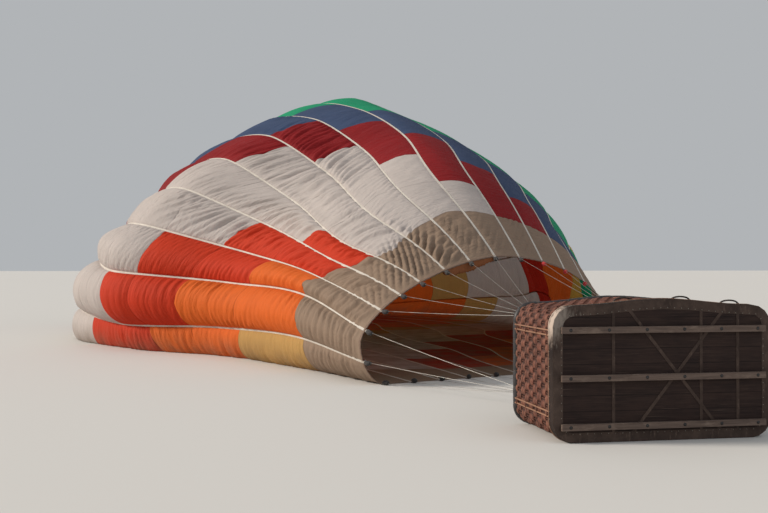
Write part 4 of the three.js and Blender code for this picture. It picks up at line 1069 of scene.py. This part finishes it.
def add_corner(name, side_x, side_z, first_tape):
    """Shackle at one corner of the load frame, with its wires, karabiners and tape loops."""
    shackle = np.array([
        side_x * (FRAME_HALF_WIDTH + LUG / 4),
        BURNER_Y + FRAME_TUBE / 2 + SHACKLE_GAP + SHACKLE_DEPTH / 2,
        BASKET_AXIS_Z + side_z * (FRAME_HALF_DEPTH + LUG / 4),
    ])
    tapes = [(first_tape + k) % GORE_COUNT for k in range(WIRES_PER_CORNER)]
    ends = sorted((tuple(tape_end(tape)[0]), tape) for tape in tapes)
    wires, loops = Shapes(), Shapes()
    for k, (_, tape) in enumerate(ends):
        tip, forward, normal = tape_end(tape)
        foot = shackle + (SHACKLE_PITCH * (k - (WIRES_PER_CORNER - 1) / 2), 0, 0)
        inward = unit(foot - tip)
        start = tip + inward * KARABINER_LENGTH
        share = np.linspace(0, 1, 13)
        path = lerp(start, foot, share[:, None])
        path[:, 2] = np.maximum(path[:, 2] - WIRE_SAG * np.sin(math.pi * share), WIRE_RADIUS)
        wires.rod(path, WIRE_RADIUS, 6)
        eye = start + inward * 0.012
        for ferrule in ((eye, eye + inward * 0.045), (foot - inward * 0.060, foot - inward * 0.015)):
            wires.rod(ferrule, WIRE_RADIUS * 2.0)
        add_tape_loop(loops, tip - forward * 0.004, unit(inward + forward), normal)
        add_karabiner(f"tape_{tape + 1:02d}", tip, inward, normal, tape)
    half = np.array([SHACKLE_WIDTH / 2, 0, 0])
    wires.rod([shackle - half, shackle + half], SHACKLE_DEPTH * 0.26, 12, up=(0, 0, 1))
    bow = np.linspace(0, math.pi, 13)
    arc = np.stack([np.cos(bow) * SHACKLE_WIDTH * 0.46, -np.sin(bow) * 0.020, np.zeros(13)], axis=-1)
    wires.rod(shackle + arc, SHACKLE_DEPTH * 0.22, 10, up=(0, 0, 1))
    for end in (-1, 1):
        wires.turned(NUT, shackle + end * half, (end, 0, 0), 6)
    wires.piece(f"wires_{name}", [wire_steel], "steel", replaces=[f"flying_wires_{name}"])
    loops.piece(f"tape_loops_{name}", [tape_cloth], "tape", smooth=False)


for corner in WIRE_CORNERS:
    add_corner(*corner)

# Basket, lying on its side: plan width along X, plan depth along Z, height along Y
HALF_WIDTH, HALF_DEPTH, CORNER, BOW = 1.100, 0.635, 0.200, 0.060
WALL_INSET, WALL_THICKNESS, WALL_TOP = 0.008, 0.035, 1.135
FLOOR_THICKNESS = 0.020
RIM_RADIUS = 0.045
RIM_Y = WALL_TOP + RIM_RADIUS + 0.0003
PARTITION_X, PARTITION_TOP = -0.350, 1.000
OUTLINE_CORNER_STEPS = 16
OUTLINE_SIDE_STEPS = 40
ROUND_THE_BASKET = ((1, 1), (-1, 1), (-1, -1), (1, -1))
DOWN_THE_BASKET = (0, -1, 0)
UP_THE_BASKET = (0, 1, 0)


def basket_outline(inset):
    """Plan of the basket, anticlockwise from the middle of the +X end, as points of X and Z."""
    reach, depth = HALF_WIDTH - CORNER, HALF_DEPTH - CORNER
    corners = []
    for quarter, (side_x, side_z) in enumerate(ROUND_THE_BASKET):
        angle = quarter * math.pi / 2 + np.linspace(0, math.pi / 2, OUTLINE_CORNER_STEPS + 1)
        middle = np.array([side_x * reach, BASKET_AXIS_Z + side_z * depth])
        corners.append(middle + (CORNER - inset) * pairs(np.cos(angle), np.sin(angle)))
    x = np.linspace(reach, -reach, OUTLINE_SIDE_STEPS + 1)[1:-1]
    z = BASKET_AXIS_Z + HALF_DEPTH - inset + BOW * np.cos(math.pi * x / (2 * reach)) ** 2
    return np.concatenate([corners[0], pairs(x, z), *corners[1:]])


class Path:
    """Line through points of X and Z, read by its length."""

    def __init__(self, points, closed):
        self.points = np.concatenate([points, points[:1]]) if closed else np.asarray(points, float)
        self.closed = closed
        self.lengths = lengths_along(self.points)
        self.length = self.lengths[-1]

    def at(self, distance):
        """Point and outward normal at each distance along the line."""
        distance = np.asarray(distance, float)

        def point(d):
            d = np.mod(d, self.length) if self.closed else np.clip(d, 0, self.length)
            return pairs(*(np.interp(d, self.lengths, column) for column in self.points.T))

        reach = 0.006
        ahead = unit(point(distance + reach) - point(distance - reach))
        return point(distance), pairs(ahead[..., 1], -ahead[..., 0])

    def nearest(self, x, z):
        gaps = np.linalg.norm(self.points - (x, z), axis=1)
        return self.lengths[int(np.argmin(gaps))]


def lift(plan, y):
    """Points of the sketch from points of X and Z and heights along Y."""
    plan, y = np.asarray(plan, float), np.asarray(y, float)
    return np.stack(np.broadcast_arrays(plan[..., 0], y, plan[..., 1]), axis=-1)


# Weave: strands run round the basket over and under stakes, in bands that change places
STRAND_PITCH = 0.015
STRAND_HALF_WIDE, STRAND_HALF_THICK = 0.0094, 0.0052
STRAND_SWING = 0.0088
STRAND_SIDES = 5
STEPS_PER_STAKE = 3
HIDDEN_STEPS_PER_STAKE = 2
STAKE_RADIUS = 0.0056
STAKE_PITCH = 0.060
STAKE_STEPS = 6
POST_UP = (0.3, 0, 0.9)


def weave(shapes, path, start, end, low, high, pitch, seed, steps):
    """Woven wall along a stretch of a path, from one height to another, with a straight strand between bands.

    pitch is the distance between stakes.
    """
    shake = Noise(seed)
    first, last = start / pitch, end / pitch
    turns = np.linspace(first, last, max(2, math.ceil((last - first) * steps) + 1))
    plan, normal = path.at(turns * pitch)
    plan, normal = lift(plan, 0), lift(normal, 0)
    angle = circle(STRAND_SIDES, 0.5)
    across, up = np.cos(angle) * STRAND_HALF_THICK, np.sin(angle) * STRAND_HALF_WIDE
    rows = round((high - low) / STRAND_PITCH)
    courses = [(row + 0.5, STRAND_SWING) for row in range(rows)]
    courses += [(row, 0.0) for row in range(STRANDS_PER_BAND, rows, STRANDS_PER_BAND)]
    for course, reach in courses:
        row = int(course)
        phase = math.pi * (row // STRANDS_PER_BAND)
        swing = reach * np.cos(math.pi * turns + phase) * (1 + 0.15 * shake(turns, row * 0.7))
        size = (1 + 0.12 * shake(turns * 0.15 + 7, row * 3.1))[:, None]
        centre = plan + normal * swing[:, None]
        centre[:, 1] = low + course * (high - low) / rows + 0.0018 * shake(turns * 0.8, row + 0.5)
        rings = centre[:, None] + normal[:, None] * (across[None] * size)[..., None]
        rings[..., 1] += up[None] * size
        shapes.tube(rings, uv=pairs(turns[:, None], course + 0.4 * np.sin(angle)[None]))
    for stake in range(math.ceil(first), math.floor(last) + 1):
        post = lift(path.at(stake * pitch)[0], np.linspace(low, high, STAKE_STEPS))
        post[:, [0, 2]] += 0.0012 * shake(stake * 1.7, np.arange(STAKE_STEPS))[:, None]
        shapes.rod(post, STAKE_RADIUS, 6, slot=1, up=POST_UP)


middle_path = Path(basket_outline(WALL_INSET + WALL_THICKNESS / 2), True)
stake_count = 2 * round(middle_path.length / STAKE_PITCH / 2)
stake_pitch = middle_path.length / stake_count
CORNER_MIDDLE = (CORNER - WALL_INSET - WALL_THICKNESS / 2) * math.sqrt(0.5)


def corner_distance(side_x, side_z):
    """How far round the basket the middle of one corner is."""
    x = side_x * (HALF_WIDTH - CORNER + CORNER_MIDDLE)
    return middle_path.nearest(x, BASKET_AXIS_Z + side_z * (HALF_DEPTH - CORNER + CORNER_MIDDLE))


def add_walls():
    corners = [corner_distance(*sides) for sides in ROUND_THE_BASKET]
    ends = corners[1:] + [corners[0] + middle_path.length]
    for k, (side, start, end) in enumerate(zip(("high", "left", "low", "right"), corners, ends)):
        shapes = Shapes()
        steps = HIDDEN_STEPS_PER_STAKE if side == "low" else STEPS_PER_STAKE
        weave(shapes, middle_path, start, end, 0.004, WALL_TOP - 0.002, stake_pitch, 400 + k, steps)
        shapes.piece(f"woven_wall_{side}", [wicker, stake_cane], "wicker", replaces=[f"wall_{side}"])


add_walls()

# Pairs of stout canes from floor to rim, where each end of the basket turns into its corners
CORNER_SIDES = ((-1, -1), (-1, 1), (1, -1), (1, 1))
POST_RADIUS = 0.0085
POST_PAIR = 0.046
POST_OUT = 0.0165
POST_STEPS = 14
POST_IN_FROM_CORNER = 0.055
BINDING_HEIGHTS = (0.16, 0.46, 0.78, 1.07)
BINDING_REACH, BINDING_RADIUS, BINDING_PITCH = 0.036, 0.0045, 0.011


def add_posts():
    shapes, bindings = Shapes(), Shapes()
    for side_x, side_z in CORNER_SIDES:
        z = BASKET_AXIS_Z + side_z * (HALF_DEPTH - CORNER)
        middle = middle_path.nearest(side_x * HALF_WIDTH, z) - side_x * side_z * POST_IN_FROM_CORNER
        for offset in (-POST_PAIR / 2, POST_PAIR / 2):
            plan, normal = middle_path.at(middle + offset)
            heights = np.linspace(0.004, WALL_TOP, POST_STEPS)
            post = lift(plan + normal * POST_OUT, heights)
            post[:, 2] += 0.0015 * Noise(81)(heights * 5, offset * 90)
            shapes.rod(post, POST_RADIUS, up=POST_UP)
        share = np.linspace(-1, 1, 7)
        plan, normal = middle_path.at(middle + share * BINDING_REACH)
        plan = plan + normal * (POST_OUT + 0.009 * np.cos(share * math.pi / 2))[:, None]
        for y in BINDING_HEIGHTS:
            for height in (y, y + BINDING_PITCH):
                bindings.rod(lift(plan, height), BINDING_RADIUS, 6, up=UP_THE_BASKET)
    shapes.piece("corner_posts", [pale_cane], "wicker")
    bindings.piece("post_bindings", [stake_cane], "wicker")


add_posts()


def add_partition():
    """Cross wall for the pilot's end, and the wall that divides the rest."""
    inside = WALL_INSET + WALL_THICKNESS + 0.004
    low, high = BASKET_AXIS_Z - HALF_DEPTH + inside, BASKET_AXIS_Z + HALF_DEPTH - inside
    across = Path([(PARTITION_X, low), (PARTITION_X, high)], False)
    lengthwise = Path([(PARTITION_X + 0.018, BASKET_AXIS_Z), (HALF_WIDTH - inside, BASKET_AXIS_Z)], False)
    shapes = Shapes()
    bottom, top = FLOOR_THICKNESS + 0.003, PARTITION_TOP - 0.02
    for k, path in enumerate((across, lengthwise)):
        weave(shapes, path, 0, path.length, bottom, top, STAKE_PITCH, 420 + k, HIDDEN_STEPS_PER_STAKE)
        shapes.rod(lift(path.points, PARTITION_TOP - 0.017), 0.0168, 12, slot=2, up=UP_THE_BASKET)
    shapes.piece("woven_partition", [wicker, stake_cane, black_leather], "wicker", replaces=["partition"])


add_partition()

# Padded leather roll round the top of the walls, laced to them
RIM_STEPS, RIM_SIDES = 420, 18
LACE_PITCH, LACE_RADIUS = 0.165, 0.0035
LACE_TIGHT = 0.93


def add_rim():
    path = Path(basket_outline(RIM_RADIUS), True)
    distance = np.arange(RIM_STEPS) * path.length / RIM_STEPS
    plan, normal = path.at(distance)
    shake = Noise(91)
    angle, along = circle(RIM_SIDES)[None], distance[:, None]
    lacing = np.mod(distance / LACE_PITCH, 1.0)
    pinch = 1 - 0.075 * np.exp(-((np.minimum(lacing, 1 - lacing) * LACE_PITCH / 0.012) ** 2))
    sag = 1 + 0.025 * shake(along * 9, angle * 1.5) + 0.015 * shake(along * 22, angle * 3)
    radius = np.minimum(RIM_RADIUS * 0.985 * pinch[:, None] * sag, RIM_RADIUS * 1.03)
    rings = lift(plan, RIM_Y)[:, None] + lift(normal, 0)[:, None] * (radius * np.cos(angle))[..., None]
    rings[..., 1] += radius * np.sin(angle)
    uv = pairs(np.arange(RIM_SIDES)[None] / RIM_SIDES, np.append(distance, path.length)[:, None])
    shapes = Shapes()
    shapes.tube(rings, True, uv)
    roll = shapes.piece("rim_padding", [black_leather], "leather", replaces=["rim_roll"])
    laces = Shapes()
    turn = circle(14)
    for k in range(int(path.length / LACE_PITCH)):
        middle, out = path.at(k * LACE_PITCH)
        plan = middle + out * (np.cos(turn) * RIM_RADIUS * LACE_TIGHT)[:, None]
        loop = lift(plan, RIM_Y + np.sin(turn) * RIM_RADIUS * LACE_TIGHT)
        laces.rod(loop, LACE_RADIUS, 6, closed=True, up=(out[1], 0, -out[0]))
    laces.piece("rim_lacing", [leather_cord], "leather")


add_rim()


def repaint(node, material):
    slots = nodes[node].data.materials
    slots.clear()
    slots.append(material)


# Floor: hide turned under its edge, straps, runners and their fastenings
repaint("floor_board", board_material())
repaint("base_hide", hide)
repaint("floor_straps", strap_hide)
runner_look = runner_material()
for number in (1, 2, 3):
    repaint(f"runner_{number}", runner_look)

RUNNER_FACE = -0.0446
RUNNER_HEIGHTS = (0.150, 0.600, 1.045)
BOLT_REACH, BOLTS_PER_RUNNER = 0.94, 6
STRAP_FACE = -0.0043
HIDE_UNDER, HIDE_TOP = 0.095, 0.110
TACK_PITCH, TACK_RADIUS, TACK_HEIGHT = 0.070, 0.0055, 0.003
BEAD_STEPS, BEAD_RADIUS, BEAD_LOWEST = 300, 0.0065, 0.008
WASHER = ((0, 0), (0.016, 0), (0.016, 0.0015), (0.0, 0.002))


def add_fastenings():
    bolts = Shapes()
    for height in RUNNER_HEIGHTS:
        for x in np.linspace(-BOLT_REACH, BOLT_REACH, BOLTS_PER_RUNNER):
            centre = np.array([x, RUNNER_FACE, height])
            bolts.lathe(WASHER, centre, DOWN_THE_BASKET, 16)
            bolts.dome(centre + (0, -0.0015, 0), DOWN_THE_BASKET, 0.010, 0.005, 12)
    bolts.piece("runner_bolts", [dark_steel], "steel")
    tacks = Shapes()
    for inset, height in ((HIDE_UNDER - 0.012, STRAP_FACE), (0.0, HIDE_TOP - 0.014)):
        path = Path(basket_outline(inset), True)
        for distance in np.arange(0, path.length, TACK_PITCH):
            plan, normal = path.at(distance)
            out = lift(normal, 0.0) if height > 0 else DOWN_THE_BASKET
            tacks.dome(lift(plan, height), out, TACK_RADIUS, TACK_HEIGHT, 8, 2)
    tacks.piece("hide_tacks", [tack_metal], "steel")
    bead = Shapes()
    path = Path(basket_outline(0.001), True)
    distance = np.arange(BEAD_STEPS) * path.length / BEAD_STEPS
    line = lift(path.at(distance)[0], HIDE_TOP + 0.0020 * Noise(95)(distance * 6, 0))
    line[:, 2] = np.maximum(line[:, 2], BEAD_LOWEST)
    bead.rod(line, BEAD_RADIUS * (1 + 0.1 * Noise(96)(distance * 12, 0)), closed=True, up=UP_THE_BASKET)
    bead.piece("edge_bead", [bead_hide], "hide")


add_fastenings()

# Rope handles on the upper wall
HANDLE_PLACES = (-0.330, 0.250, 0.760)
HANDLE_SPAN, HANDLE_RISE, HANDLE_RADIUS, HANDLE_Y = 0.190, 0.050, 0.009, 0.170
HANDLE_TURNS, HANDLE_STRANDS = 7, 3
KNOT = ((0, 0), (0.014, 0), (0.015, 0.006), (0.011, 0.016), (0, 0.017))


def add_handle(number, x):
    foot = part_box(f"rope_handle_{number}")[0].z + 0.004
    q = np.linspace(0, 1, 49)[:, None]
    a, b, c, d = (
        np.array([x + end * HANDLE_SPAN / 2, HANDLE_Y, foot + rise])
        for end, rise in ((-1, 0), (-1, HANDLE_RISE), (1, HANDLE_RISE), (1, 0))
    )
    line = a * (1 - q) ** 3 + 3 * b * q * (1 - q) ** 2 + 3 * c * q ** 2 * (1 - q) + d * q ** 3
    shapes = Shapes()
    strand = HANDLE_RADIUS * 0.52
    side = np.cross(unit(np.gradient(line, axis=0)), UP_THE_BASKET)
    for start in circle(HANDLE_STRANDS):
        angle = 2 * math.pi * HANDLE_TURNS * q + start
        offset = np.cos(angle) * side + np.sin(angle) * np.array(UP_THE_BASKET)
        shapes.rod(line + offset * strand * 0.9, strand, 7, up=UP_THE_BASKET)
    for end in (a, d):
        shapes.lathe(KNOT, end - (0, 0, 0.004), (0, 0, 1), 12)
    shapes.piece(f"handle_rope_{number}", [rope], "rope", replaces=[f"rope_handle_{number}"])


for number, x in enumerate(HANDLE_PLACES, 1):
    add_handle(number, x)

# Fuel cylinders in the corners of the basket
CYLINDER_RADIUS, CYLINDER_HEIGHT = 0.145, 0.900
CYLINDER_X, CYLINDER_OFFSET = 0.895, 0.400
CYLINDER_FOOT = FLOOR_THICKNESS + 0.0003
SHOULDER_DROP, SHOULDER_RISE = 0.185, 0.085
STRAP_HEIGHTS, STRAP_SIDES, STRAP_HALF = (0.30, 0.56), 40, 0.024
STRAP_UV = 0.019
BUCKLE = np.array([(0, -0.030, -0.022), (0, -0.030, 0.022), (0, 0.030, 0.022), (0, 0.030, -0.022)])
VALVE_STEM = ((0, 0), (0.020, 0), (0.020, 0.020), (0.013, 0.024), (0.013, 0.052), (0, 0.054))
OUTLET = ((0.010, 0), (0.010, 0.040), (0.014, 0.042), (0.014, 0.056))
HANDWHEEL = ((0.026, 0), (0.028, 0.004), (0.026, 0.012))
LEVEL_GAUGE = ((0.021, 0), (0.023, 0.004), (0.023, 0.014), (0.020, 0.016), (0.020, 0.0145))
LEVEL_FACE = ((0, 0), (0.0195, 0), (0, 0.0008))


def add_cylinder(number, side_x, side_z):
    base = np.array([side_x * CYLINDER_X, CYLINDER_FOOT, BASKET_AXIS_Z + side_z * CYLINDER_OFFSET])
    r, top = CYLINDER_RADIUS * 0.985, CYLINDER_HEIGHT
    shoulder = np.linspace(0, math.pi / 2, 9)[:-1]
    body = Shapes()
    body.lathe([
        (0.0, 0.0), (r * 0.86, 0.0), (r * 0.90, 0.012), (r * 0.90, 0.045), (r * 0.97, 0.062), (r, 0.085),
        (r, 0.30), (r + 0.002, 0.305), (r + 0.002, 0.320), (r, 0.325),
        *((r * math.cos(a) + 0.001, top - SHOULDER_DROP + SHOULDER_RISE * math.sin(a)) for a in shoulder),
        (0.0, top - 0.100),
    ], base, UP_THE_BASKET, 40)
    body.lathe([
        (0.087, top - 0.118), (0.087, top - 0.006), (0.084, top), (0.079, top), (0.076, top - 0.006),
        (0.076, top - 0.118),
    ], base, UP_THE_BASKET, 32)
    body.piece(f"cylinder_body_{number}", [brushed_aluminium], "cylinder_metal",
               replaces=[f"fuel_cylinder_{number}"])
    fittings = Shapes()
    fittings.lathe(VALVE_STEM, base + (0, top - 0.102, 0), UP_THE_BASKET, 16)
    fittings.turned(OUTLET, base + (0, top - 0.062, 0), (0, 0, 1), 12)
    fittings.turned(HANDWHEEL, base + (0, top - 0.040, 0), UP_THE_BASKET, 20)
    fittings.turned(LEVEL_GAUGE, base + (-0.045 * side_x, top - 0.100, 0.0), UP_THE_BASKET, 20)
    fittings.lathe(LEVEL_FACE, base + (-0.045 * side_x, top - 0.0852, 0.0), UP_THE_BASKET, 20, 1)
    fittings.piece(f"cylinder_valve_{number}", [brass, gauge_face], "cylinder_metal")
    strap = Shapes()
    turn = circle(STRAP_SIDES)
    for height in STRAP_HEIGHTS:
        for k in range(STRAP_SIDES):
            pair = turn[[k, (k + 1) % STRAP_SIDES]]
            ring = base + lift((r + 0.0035) * pairs(np.cos(pair), np.sin(pair)), height)
            low, high = ring - (0, STRAP_HALF, 0), ring + (0, STRAP_HALF, 0)
            start, end = r * (k + np.array([0, 1])) * 2 * math.pi / STRAP_SIDES
            uv = [(-STRAP_UV, start), (-STRAP_UV, end), (STRAP_UV, end), (STRAP_UV, start)]
            strap.add([*low, *high[::-1]], [(0, 1, 2, 3)], uv)
        buckle = base + (-side_x * (r + 0.008), height, 0)
        tongue = buckle + np.array([[0, -0.030, 0], [-side_x * 0.004, 0, 0], [0, 0.030, 0]])
        strap.rod(buckle + BUCKLE, 0.0035, 6, closed=True, slot=1, up=(1, 0, 0))
        strap.rod(tongue, 0.003, 6, slot=1)
    strap.piece(f"cylinder_straps_{number}", [grey_web, dark_steel], "cylinder_metal")


for number, sides in enumerate(CORNER_SIDES, 1):
    add_cylinder(number, *sides)

# Uprights of the load frame, in laced leather covers
UPRIGHT_FOOT_X, UPRIGHT_FOOT_Z = 0.700, 0.592
UPRIGHT_FOOT_RADIUS, UPRIGHT_TOP_RADIUS = 0.024, 0.020
BAND_PLACES, BAND_HALF = (0.06, 0.36, 0.66, 0.94), 0.012


def add_upright(number, side_x, side_z):
    foot_z, top_z = (BASKET_AXIS_Z + side_z * z for z in (UPRIGHT_FOOT_Z, FRAME_HALF_DEPTH))
    foot = np.array([side_x * UPRIGHT_FOOT_X, RIM_Y + RIM_RADIUS + 0.002, foot_z])
    top = np.array([side_x * FRAME_HALF_WIDTH, BURNER_Y - FRAME_TUBE / 2 - 0.004, top_z])
    q = np.linspace(0, 1, 60)
    swell = 0.98 + 0.03 * Noise(500 + number)(q * 24, 0)
    radius = lerp(UPRIGHT_FOOT_RADIUS, UPRIGHT_TOP_RADIUS, q) * swell
    radius[[0, -1]] *= 0.86
    shapes = Shapes()
    shapes.rod(lerp(foot, top, q[:, None]), radius, 18, up=(0, 0, 1))
    shapes.piece(f"upright_cover_{number}", [cover_leather], "leather", replaces=[f"upright_{number}"])
    bands = Shapes()
    for share in BAND_PLACES:
        size = lerp(UPRIGHT_FOOT_RADIUS, UPRIGHT_TOP_RADIUS, share) + 0.0015
        profile = [(size - 0.004, -0.013), (size, -BAND_HALF), (size, BAND_HALF), (size - 0.004, 0.013)]
        bands.lathe(profile, lerp(foot, top, share), top - foot, 18)
    bands.piece(f"upright_bands_{number}", [leather_cord], "leather")


for number, sides in enumerate(CORNER_SIDES, 1):
    add_upright(number, *sides)

# Load frame, gimbal and burner keep their solids, with welds, pins, coils, levers and unions added
repaint("load_frame", frame_steel)
repaint("gimbal_ring", gimbal_steel)
repaint("burner_block", burner_steel)
repaint("crown_ring", crown_steel)
repaint("burner_can_1", can_steel)
repaint("burner_can_2", can_steel)
CAN_SPACING, CAN_BASE, CAN_LENGTH, CAN_RADIUS = 0.125, 0.0203, 0.320, 0.118
COIL_RADIUS, COIL_BAR, COIL_TURNS, COIL_RISE = 0.092, 0.0075, 8, 0.225
COIL_FOOT = 0.040
JET_RING, JETS = 0.050, 12
GIMBAL_HALF_DEPTH, GIMBAL_TUBE = 0.330, 0.030
FRAME_PIN = ((0, 0), (0.019, 0), (0.019, 0.005), (0.012, 0.006), (0.012, 0.012), (0, 0.013))
GIMBAL_PIN = ((0, 0), (0.018, 0), (0.018, 0.005), (0.011, 0.006), (0.011, 0.011), (0, 0.012))
JET = ((0.0045, 0), (0.0030, 0.012))
PILOT_LIGHT = ((0.013, 0), (0.013, 0.055), (0.009, 0.060), (0.009, 0.085))
LEVER_BASE = ((0.020, 0), (0.020, 0.022), (0.012, 0.026))
PRESSURE_GAUGE = ((0.026, 0), (0.028, 0.006), (0.028, 0.018), (0.024, 0.021), (0.024, 0.018))
PRESSURE_FACE = ((0, 0), (0.0235, 0), (0, 0.0008))
UNION = ((0.015, 0), (0.015, 0.010), (0.010, 0.012), (0.010, 0.016))
burner_middle = np.array([0, BURNER_Y, BASKET_AXIS_Z])


def add_frame_details():
    shapes, rings = Shapes(), Shapes()
    for side_x, side_z in CORNER_SIDES:
        corner = burner_middle + (side_x * FRAME_HALF_WIDTH, 0, side_z * FRAME_HALF_DEPTH)
        shapes.dome(corner + (side_x * 0.020, 0, 0), (side_x, 0, 0), 0.011, 0.006, 12)
        shapes.dome(corner + (0, 0, side_z * 0.020), (0, 0, side_z), 0.011, 0.006, 12)
        for reach in (-0.10, -0.20):
            shapes.dome(corner + (side_x * reach, 0, side_z * 0.020), (0, 0, side_z), 0.007, 0.004, 10)
    for side in (-1, 1):
        pin = burner_middle + (side * (FRAME_HALF_WIDTH + FRAME_TUBE / 2), 0, 0)
        shapes.lathe(FRAME_PIN, pin, (side, 0, 0), 20)
        pin = burner_middle + (0, 0, side * (GIMBAL_HALF_DEPTH + GIMBAL_TUBE / 2))
        rings.lathe(GIMBAL_PIN, pin, (0, 0, side), 20)
        for x in (-0.30, 0.30):
            rings.dome(pin + (x, 0, 0), (0, 0, side), 0.007, 0.004, 10)
    shapes.piece("frame_bolts", [dark_steel], "frame_metal")
    rings.piece("gimbal_bolts", [dark_steel], "steel", "gimbal")


def add_burner_details():
    shapes, fittings = Shapes(), Shapes()
    for side in (-1, 1):
        axis = burner_middle + (side * CAN_SPACING, CAN_BASE, 0)
        q = np.linspace(0, 1, COIL_TURNS * 24)
        turn = 2 * math.pi * COIL_TURNS * q
        wide = (COIL_RADIUS * (0.90 + 0.10 * q))[:, None]
        coil = lift(wide * pairs(np.cos(turn), np.sin(turn)), COIL_FOOT + COIL_RISE * q)
        shapes.rod(axis + coil, COIL_BAR, 7, up=UP_THE_BASKET)
        turn = circle(24)
        jet_ring = axis + lift(JET_RING * pairs(np.cos(turn), np.sin(turn)), 0.036)
        shapes.rod(jet_ring, 0.007, closed=True, up=UP_THE_BASKET)
        for a in circle(JETS):
            foot = axis + (math.cos(a) * JET_RING, COIL_FOOT, math.sin(a) * JET_RING)
            shapes.turned(JET, foot, UP_THE_BASKET, 8)
        shapes.turned(PILOT_LIGHT, axis + (0, 0.024, 0), UP_THE_BASKET, 14)
        shapes.lathe([
            (CAN_RADIUS - 0.001, CAN_LENGTH - 0.018), (CAN_RADIUS + 0.003, CAN_LENGTH - 0.016),
            (CAN_RADIUS + 0.003, CAN_LENGTH - 0.002), (CAN_RADIUS - 0.004, CAN_LENGTH),
        ], axis, UP_THE_BASKET, 48)
        for a in circle(10, 0.5):
            out = np.array([math.cos(a), 0, math.sin(a)])
            shapes.dome(axis + out * (CAN_RADIUS - 0.001) + (0, 0.045, 0), out, 0.006, 0.003, 8, 2)
        lever = burner_middle + (side * CAN_SPACING, -0.060, 0.060)
        fittings.turned(LEVER_BASE, lever, (0, 0, 1), 18)
        grip = lever + np.array([[0, 0, 0.022], [side * 0.012, -0.030, 0.032], [side * 0.020, -0.085, 0.040]])
        fittings.rod(grip, (0.006, 0.007, 0.010), 10, slot=1, up=(1, 0, 0))
        gauge = burner_middle + (side * 0.195, -0.045, 0.060)
        fittings.turned(PRESSURE_GAUGE, gauge, (0, 0, 1), 24)
        fittings.lathe(PRESSURE_FACE, gauge + (0, 0, 0.0186), (0, 0, 1), 24, 2)
        fittings.turned(UNION, burner_middle + (side * 0.205, -0.100, -0.030), DOWN_THE_BASKET, 6)
    for x in np.linspace(-0.215, 0.215, 5):
        for z in (-1, 1):
            fittings.dome(burner_middle + (x, 0.008, z * 0.061 * 0.985), (0, 0, z), 0.006, 0.004)
    shapes.piece("burner_coils", [coil_steel], "steel", "burner")
    fittings.piece("burner_fittings", [brass, red_grip, gauge_face], "steel", "burner")


add_frame_details()
add_burner_details()

# Floor, light and camera
FLOOR_HALF = 400.0
floor_mesh = bpy.data.meshes.new("floor")
floor_mesh.from_pydata([(x * FLOOR_HALF, y * FLOOR_HALF, 0) for x, y in ((-1, -1), (1, -1), (1, 1), (-1, 1))],
                       [], [(0, 1, 2, 3)])
floor = link("floor", floor_mesh)
floor_look = Nodes("floor")
floor_mesh.materials.append(floor_look.finish((0.62, 0.60, 0.57), 0.9))

world = bpy.data.worlds.new("studio")
bpy.context.scene.world = world
world.use_nodes = True
background = world.node_tree.nodes["Background"]
background.inputs[0].default_value = (0.80, 0.83, 0.86, 1)
background.inputs[1].default_value = 0.55


def point_towards(made, direction):
    made.rotation_mode = "QUATERNION"
    made.rotation_quaternion = Vector(direction).to_track_quat("-Z", "Y")


def sun(name, towards, strength, angle, colour):
    lamp = bpy.data.lights.new(name, "SUN")
    lamp.energy = strength
    lamp.angle = math.radians(angle)
    lamp.color = colour
    point_towards(link(name, lamp), towards)


sun("key", (1.0, -0.20, -0.52), 3.4, 12, (1.0, 0.92, 0.82))
sun("fill", (-0.4, 1.0, -0.9), 0.35, 60, (0.85, 0.92, 1.0))

camera_data = bpy.data.cameras.new("camera")
camera_data.lens = LENS
camera_data.sensor_width = SENSOR_WIDTH
camera_data.clip_end = CLIP_END
camera = link("camera", camera_data)
camera.location = ORIGIN + CAMERA_AT
level = math.cos(CAMERA_RISE)
point_towards(camera, (math.sin(CAMERA_TURN) * level, math.cos(CAMERA_TURN) * level, math.sin(CAMERA_RISE)))
bpy.context.scene.camera = camera

bpy.context.scene.view_settings.view_transform = "Standard"
